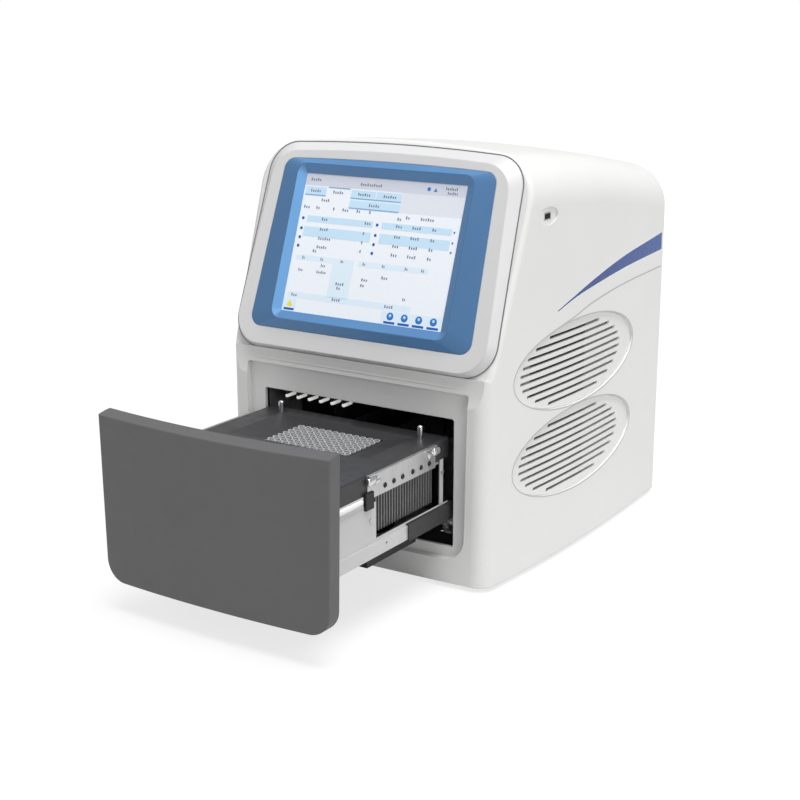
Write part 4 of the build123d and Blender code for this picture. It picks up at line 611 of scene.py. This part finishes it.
# The sweep, and a whiter glossy strip along both its edges that is a painted highlight
SWEEPS = (
    ("sweep", 0.0, SWEEP_LIFT, sweep_paint.material),
    ("sweep_highlight", EDGE_W, EDGE_LIFT, ROLL),
)
for side, label in ((1, "right"), (-1, "left")):
    upper = smooth_path(SWEEP_UPPER, SWEEP_STEPS)
    lower = smooth_path(SWEEP_LOWER, SWEEP_STEPS)
    for name, margin, lift, material in SWEEPS:
        rows = []
        for (y1, z1), (y0, z0) in zip(upper, lower):
            row = []
            for r in range(SWEEP_ROWS + 1):
                t = r / SWEEP_ROWS
                grow = margin * (2 * t - 1)
                y, z = drawn(y0 + (y1 - y0) * t, z0 + (z1 - z0) * t + grow)
                row.append(on_side(side, y, z, lift))
            rows.append(row)
        ribbon(f"{name}_{label}", rows, material, side < 0)
    # The character line: a grey strip painted as the shade of a small step in the side
    rows = []
    for y0, z0 in smooth_path(LINE, LINE_STEPS):
        y, z = drawn(y0, z0)
        rows.append([on_side(side, y, z + half, LINE_LIFT) for half in (-LINE_HALF, LINE_HALF)])
    ribbon(f"crease_shade_{label}", rows, SHADE_LINE, side > 0)
    # Around each louvred oval, a grey ring painted as the shade at the edge of its recess
    for name, height in GRILLES:
        rows = []
        for k in range(OVAL_STEPS):
            turn = 2 * math.pi * k / OVAL_STEPS
            row = []
            for grow in OVAL_LINE:
                y = (GRILLE_Y + (GRILLE_HALF_L + grow) * math.cos(turn)) * MM + FRONT_Y
                z = (height + (GRILLE_HALF_H + grow) * math.sin(turn)) * MM
                row.append(on_side(side, y, z, OVAL_LIFT))
            rows.append(row)
        ribbon(f"oval_line_{name}_{label}", rows, SHADE_LINE, side > 0, closed=True)

# Behind the louvres: a dark filter mat in the middle and pale blind liners at both ends
LINER_IN = 6.7 * MM  # behind the cover's outer face
LINER_T = 1.0 * MM
LINER_Z = (76.0, 268.0)
LINER_STEPS = 8
SOLID_H = 50 * MM  # a height at which the cover's side has no opening
LINERS = (
    ("front", 62.0, 92.0, LINER),
    ("filter", 92.5, 213.5, FOAM),
    ("rear", 214.0, 322.0, LINER),
)
for side, label in ((1, "right"), (-1, "left")):
    for end, start_y, end_y, material in LINERS:
        points = []
        for k in range(LINER_STEPS + 1):
            y = (start_y + (end_y - start_y) * k / LINER_STEPS) * MM + FRONT_Y
            x = abs(on_side(side, y, SOLID_H, 0.0).x) - LINER_IN
            for depth in (x, x - LINER_T):
                points += [Vector((side * depth, y, z * MM)) for z in LINER_Z]
        last = 4 * LINER_STEPS
        faces = bar_faces(LINER_STEPS + 1, turned=side > 0)
        faces += [(0, 2, 3, 1), (last, last + 1, last + 3, last + 2)]
        add_mesh(f"liner_{end}_{label}", points, faces, material)


# Small drawer trim: a rolled band over each side plate, a catch, and each bracket's knobs and plugs
TUBE_SIDES = 20
TUBE_ENDS = ((0.0, 0.55), (0.25, 0.85), (0.7, 1.0))  # how far in, and how wide, in radii


def part_point(x, y, z):
    """Row-frame place of millimetres from the middle, the cover's front and the table."""
    return Vector((x * MM, y * MM + FRONT_Y, z * MM))


def tube(name, start, end, radius, flat, material, body):
    """A round bar between two points, squashed across by a factor and closed at both ends."""
    axis = (end - start).normalized()
    side = axis.cross(Vector((0, 0, 1))).normalized()
    top = side.cross(axis)
    around = TUBE_SIDES
    points, faces = [], []
    stops = [(start + axis * radius * t, r) for t, r in TUBE_ENDS]
    stops += [(end - axis * radius * t, r) for t, r in reversed(TUBE_ENDS)]
    for centre, share in stops:
        for k in range(around):
            turn = 2 * math.pi * k / around
            offset = side * math.cos(turn) * flat + top * math.sin(turn)
            points.append(centre + offset * radius * share)
    for ring in range(len(stops) - 1):
        for k in range(around):
            a = ring * around + k
            b = ring * around + (k + 1) % around
            faces.append((a, b, b + around, a + around))
    faces.append(tuple(reversed(range(around))))
    faces.append(tuple(range((len(stops) - 1) * around, len(stops) * around)))
    return add_mesh(name, points, faces, material, body, smooth=True)


def rounded_block(name, low, high, edge, material, body):
    """A block with its edges rounded by a bevel."""
    corners = [(x, y, z) for x in (low.x, high.x) for y in (low.y, high.y) for z in (low.z, high.z)]
    faces = [(0, 1, 3, 2), (4, 6, 7, 5), (0, 4, 5, 1), (2, 3, 7, 6), (0, 2, 6, 4), (1, 5, 7, 3)]
    obj = add_mesh(name, corners, faces, material, body)
    bevel = obj.modifiers.new("edges", "BEVEL")
    bevel.width = edge
    bevel.segments = 3
    return obj


# Places for part_point(), in millimetres, and radii and edges in metres
ROLL_X = 118.2
ROLL_Y = (-226, -150)
ROLL_Z = 139.5
ROLL_R = 3.2 * MM
ROLL_FLAT = 0.5
CATCH_X = (117.2, 120.4)
CATCH_Y = (-147, -133)
CATCH_Z = (129, 147)
CATCH_EDGE = 0.8 * MM
KNOB_X = 120.2
KNOB_FLAT = 0.55
KNOB_ENDS = (("front", -137, 1), ("rear", -18, -1))
# Each knob's reach along the bracket, its place inward of KNOB_X, its height and its radius
KNOBS = (("knob", (-7, 6), 0.0, 157.4, 4.6 * MM), ("small_knob", (6, 15), 0.4, 155.2, 3.2 * MM))
PLUG_PLACES = (31, 47, 63, 82, 98, 114)  # millimetres behind the bracket's front end
PLUG_DROP = 17.5 * MM  # below the bracket's top
PLUG_X = (115.5, 119.9)
PLUG_R = 2.9 * MM
bracket_low, bracket_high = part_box("side_brackets")
for side, label in ((1, "right"), (-1, "left")):
    start, end = (part_point(side * ROLL_X, y, ROLL_Z) for y in ROLL_Y)
    tube(f"roll_{label}", start, end, ROLL_R, ROLL_FLAT, ROLL, "drawer")
    inner, outer = sorted(side * x for x in CATCH_X)
    low = part_point(inner, CATCH_Y[0], CATCH_Z[0])
    high = part_point(outer, CATCH_Y[1], CATCH_Z[1])
    rounded_block(f"catch_{label}", low, high, CATCH_EDGE, BLACK, "drawer")
    for place, y, step in KNOB_ENDS:
        for name, reach, inward, z, radius in KNOBS:
            x = side * KNOB_X - side * inward
            start, end = (part_point(x, spot, z) for spot in sorted(y + r * step for r in reach))
            tube(f"{name}_{place}_{label}", start, end, radius, KNOB_FLAT, CHROME, "drawer")
    for k, back in enumerate(PLUG_PLACES):
        y, z = bracket_low.y + back * MM, bracket_high.z - PLUG_DROP
        start, end = (Vector((side * x * MM, y, z)) for x in PLUG_X)
        tube(f"plug_{label}_{k + 1}", start, end, PLUG_R, 1.0, BLACK, "drawer")

# The baffle: a dark shelf and sheet, and thin fins that each have a pale bar along the foot, which
# glows as painted light
BARS = 6
BAR_PITCH = 15.5 * MM
BAR_R = 2.1 * MM
BAR_L = 17 * MM
BAR_IN = 4 * MM
BAR_DROP = 2.6 * MM
SHELF_RISE = 5.4 * MM
SHELF_PAST = 3 * MM
SHELF_T = 1.5 * MM
SHEET_T = 3 * MM
SHELF_EDGE = 0.3 * MM
FIN_HALF = 0.7 * MM
FIN_SHORT = 0.5 * MM
FIN_LAP = 0.5 * MM
FIN_EDGE = 0.2 * MM
baffle_low, baffle_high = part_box("light_baffle")
bar_x = baffle_low.x + BAR_IN
bar_z = baffle_low.z - BAR_DROP
shelf_z = baffle_low.z + SHELF_RISE
shelf_end = bar_x + (BARS - 1) * BAR_PITCH + SHELF_PAST
low = Vector((baffle_low.x, baffle_low.y, shelf_z))
high = Vector((shelf_end, baffle_high.y, shelf_z + SHELF_T))
shelf = rounded_block("baffle_shelf", low, high, SHELF_EDGE, BLACK, "body")
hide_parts("light_baffle")
high = Vector((shelf_end, baffle_low.y + SHEET_T, baffle_high.z))
rounded_block("baffle_sheet", low, high, SHELF_EDGE, BLACK, "body")
for k in range(BARS):
    x = bar_x + k * BAR_PITCH
    low = Vector((x - FIN_HALF, baffle_low.y + FIN_SHORT, bar_z))
    high = Vector((x + FIN_HALF, baffle_low.y + BAR_L - FIN_SHORT, shelf_z + FIN_LAP))
    rounded_block(f"fin_{k + 1}", low, high, FIN_EDGE, BLACK, "body")
    start = Vector((x, baffle_low.y, bar_z))
    end = Vector((x, baffle_low.y + BAR_L, bar_z))
    tube(f"bar_{k + 1}", start, end, BAR_R, 1.0, PAINTED_LIGHT_BAR, "body")

# A grey gasket shows in the seam between the display housing and the cover
GASKET_IN = 0.6 * MM
GASKET_OUT = 0.35 * MM
GASKET_BELOW = 0.1 * MM
GASKET_H = 0.9 * MM
RIM_H = 1.0 * MM  # the part of the housing, from its seat, that gives the outline
housing = nodes["display_housing"]
flat_points, depths = [], []
for vertex in housing.data.vertices:
    place = housing.matrix_world @ vertex.co
    flat_points.append(Vector((place.dot(ACROSS), place.dot(UP))))
    depths.append(place.dot(OUT))
seat = min(depths)
rim = [p for p, depth in zip(flat_points, depths) if depth < seat + RIM_H]
outline = [rim[i] for i in geometry.convex_hull_2d(rim)]
points = []
count = len(outline)
for k in range(count):
    before, here, after = outline[k - 1], outline[k], outline[(k + 1) % count]
    along = (after - before).normalized()
    outward = Vector((along.y, -along.x))
    for offset in (-GASKET_IN, GASKET_OUT):
        spot = here + outward * offset
        for depth in (seat - GASKET_BELOW, seat + GASKET_H):
            points.append(spot.x * ACROSS + spot.y * UP + depth * OUT)
add_mesh("display_gasket", points, bar_faces(count, closed=True), GASKET)

# Floor, light and camera
FLOOR_GREY = (0.62, 0.62, 0.62, 1)
FLOOR_GLOW = 1.2
FLOOR_GLOW_SHARE = 0.62  # of what the camera sees of the floor
FLOOR_SIZE = 14.0
FLOOR_Z = -0.0002  # just under the feet
AMBIENT = 0.40
SEEN_SKY = 1.0
LIGHT = (1, 1, 1, 1)
floor_shader = Shader("floor_pale")
diffuse = floor_shader.surface
diffuse.inputs["Roughness"].default_value = 0.7
pale = floor_shader.tint(floor_shader.noise(3.0), FLOOR_GREY, 0.004)
floor_shader.link(pale, diffuse.inputs["Base Color"])
glow = floor_shader.node("ShaderNodeEmission", Color=LIGHT, Strength=FLOOR_GLOW)
mixer = floor_shader.node("ShaderNodeMixShader")
rays = floor_shader.node("ShaderNodeLightPath")
sees = floor_shader.node("ShaderNodeMath", operation="MULTIPLY")
sees.inputs[1].default_value = FLOOR_GLOW_SHARE
floor_shader.link(rays.outputs["Is Camera Ray"], sees.inputs[0])
floor_shader.link(sees.outputs[0], mixer.inputs["Fac"])
floor_shader.link(diffuse.outputs["BSDF"], mixer.inputs[1])
floor_shader.link(glow.outputs["Emission"], mixer.inputs[2])
floor_shader.link(mixer.outputs["Shader"], floor_shader.tree.nodes["Material Output"].inputs["Surface"])
bpy.ops.mesh.primitive_plane_add(size=FLOOR_SIZE, location=(0, 0, FLOOR_Z))
floor = bpy.context.object
floor.name = "floor"
floor.data.materials.append(floor_shader.material)

# The world is white where the camera sees it, also through glass, and dimmer as a light
world = bpy.data.worlds.new("studio")
bpy.context.scene.world = world
world.use_nodes = True
sky = world.node_tree
sky.nodes.clear()


def background(strength):
    """A white background of the world."""
    made = sky.nodes.new("ShaderNodeBackground")
    made.inputs["Color"].default_value = LIGHT
    made.inputs["Strength"].default_value = strength
    return made


path_info = sky.nodes.new("ShaderNodeLightPath")
seen = sky.nodes.new("ShaderNodeMath")
seen.operation = "MAXIMUM"
sky.links.new(path_info.outputs["Is Camera Ray"], seen.inputs[0])
sky.links.new(path_info.outputs["Is Transmission Ray"], seen.inputs[1])
choice = sky.nodes.new("ShaderNodeMixShader")
sky.links.new(seen.outputs[0], choice.inputs["Fac"])
sky.links.new(background(AMBIENT).outputs[0], choice.inputs[1])
sky.links.new(background(SEEN_SKY).outputs[0], choice.inputs[2])
target = sky.nodes.new("ShaderNodeOutputWorld")
sky.links.new(choice.outputs[0], target.inputs["Surface"])


def sun(name, direction, strength, spread):
    """A soft distant lamp that shines from a direction."""
    lamp = bpy.data.lights.new(name, "SUN")
    lamp.energy = strength
    lamp.angle = math.radians(spread)
    obj = bpy.data.objects.new(name, lamp)
    obj.rotation_mode = "QUATERNION"
    obj.rotation_quaternion = Vector(direction).to_track_quat("Z", "Y")
    bpy.context.scene.collection.objects.link(obj)


sun("key", (0.22, -0.07, 0.96), strength=2.85, spread=35)
sun("side", (0.85, -0.45, 0.28), strength=0.42, spread=20)

# The camera stands where the photograph was taken from
AZIMUTH = math.radians(32.91)
ELEVATION = math.radians(15.29)
CAMERA_X = 911.15 * MM
CAMERA_Y = -1308.72 * MM + FRONT_Y
CAMERA_Z = 626.38 * MM
SENSOR_MM = 36.0
LENS_MM = 68.648
CLIP_START = 0.05
back = Vector(
    (
        math.sin(AZIMUTH) * math.cos(ELEVATION),
        -math.cos(AZIMUTH) * math.cos(ELEVATION),
        math.sin(ELEVATION),
    )
)
right = Vector((math.cos(AZIMUTH), math.sin(AZIMUTH), 0))
above = back.cross(right)
lens = bpy.data.cameras.new("camera")
lens.sensor_width = SENSOR_MM
lens.lens = LENS_MM
lens.clip_start = CLIP_START
camera = bpy.data.objects.new("camera", lens)
turn = Matrix((right, above, back)).transposed()
camera.matrix_world = Matrix.Translation((CAMERA_X, CAMERA_Y, CAMERA_Z)) @ turn.to_4x4()
bpy.context.scene.collection.objects.link(camera)
bpy.context.scene.camera = camera
bpy.context.scene.view_settings.view_transform = "Standard"
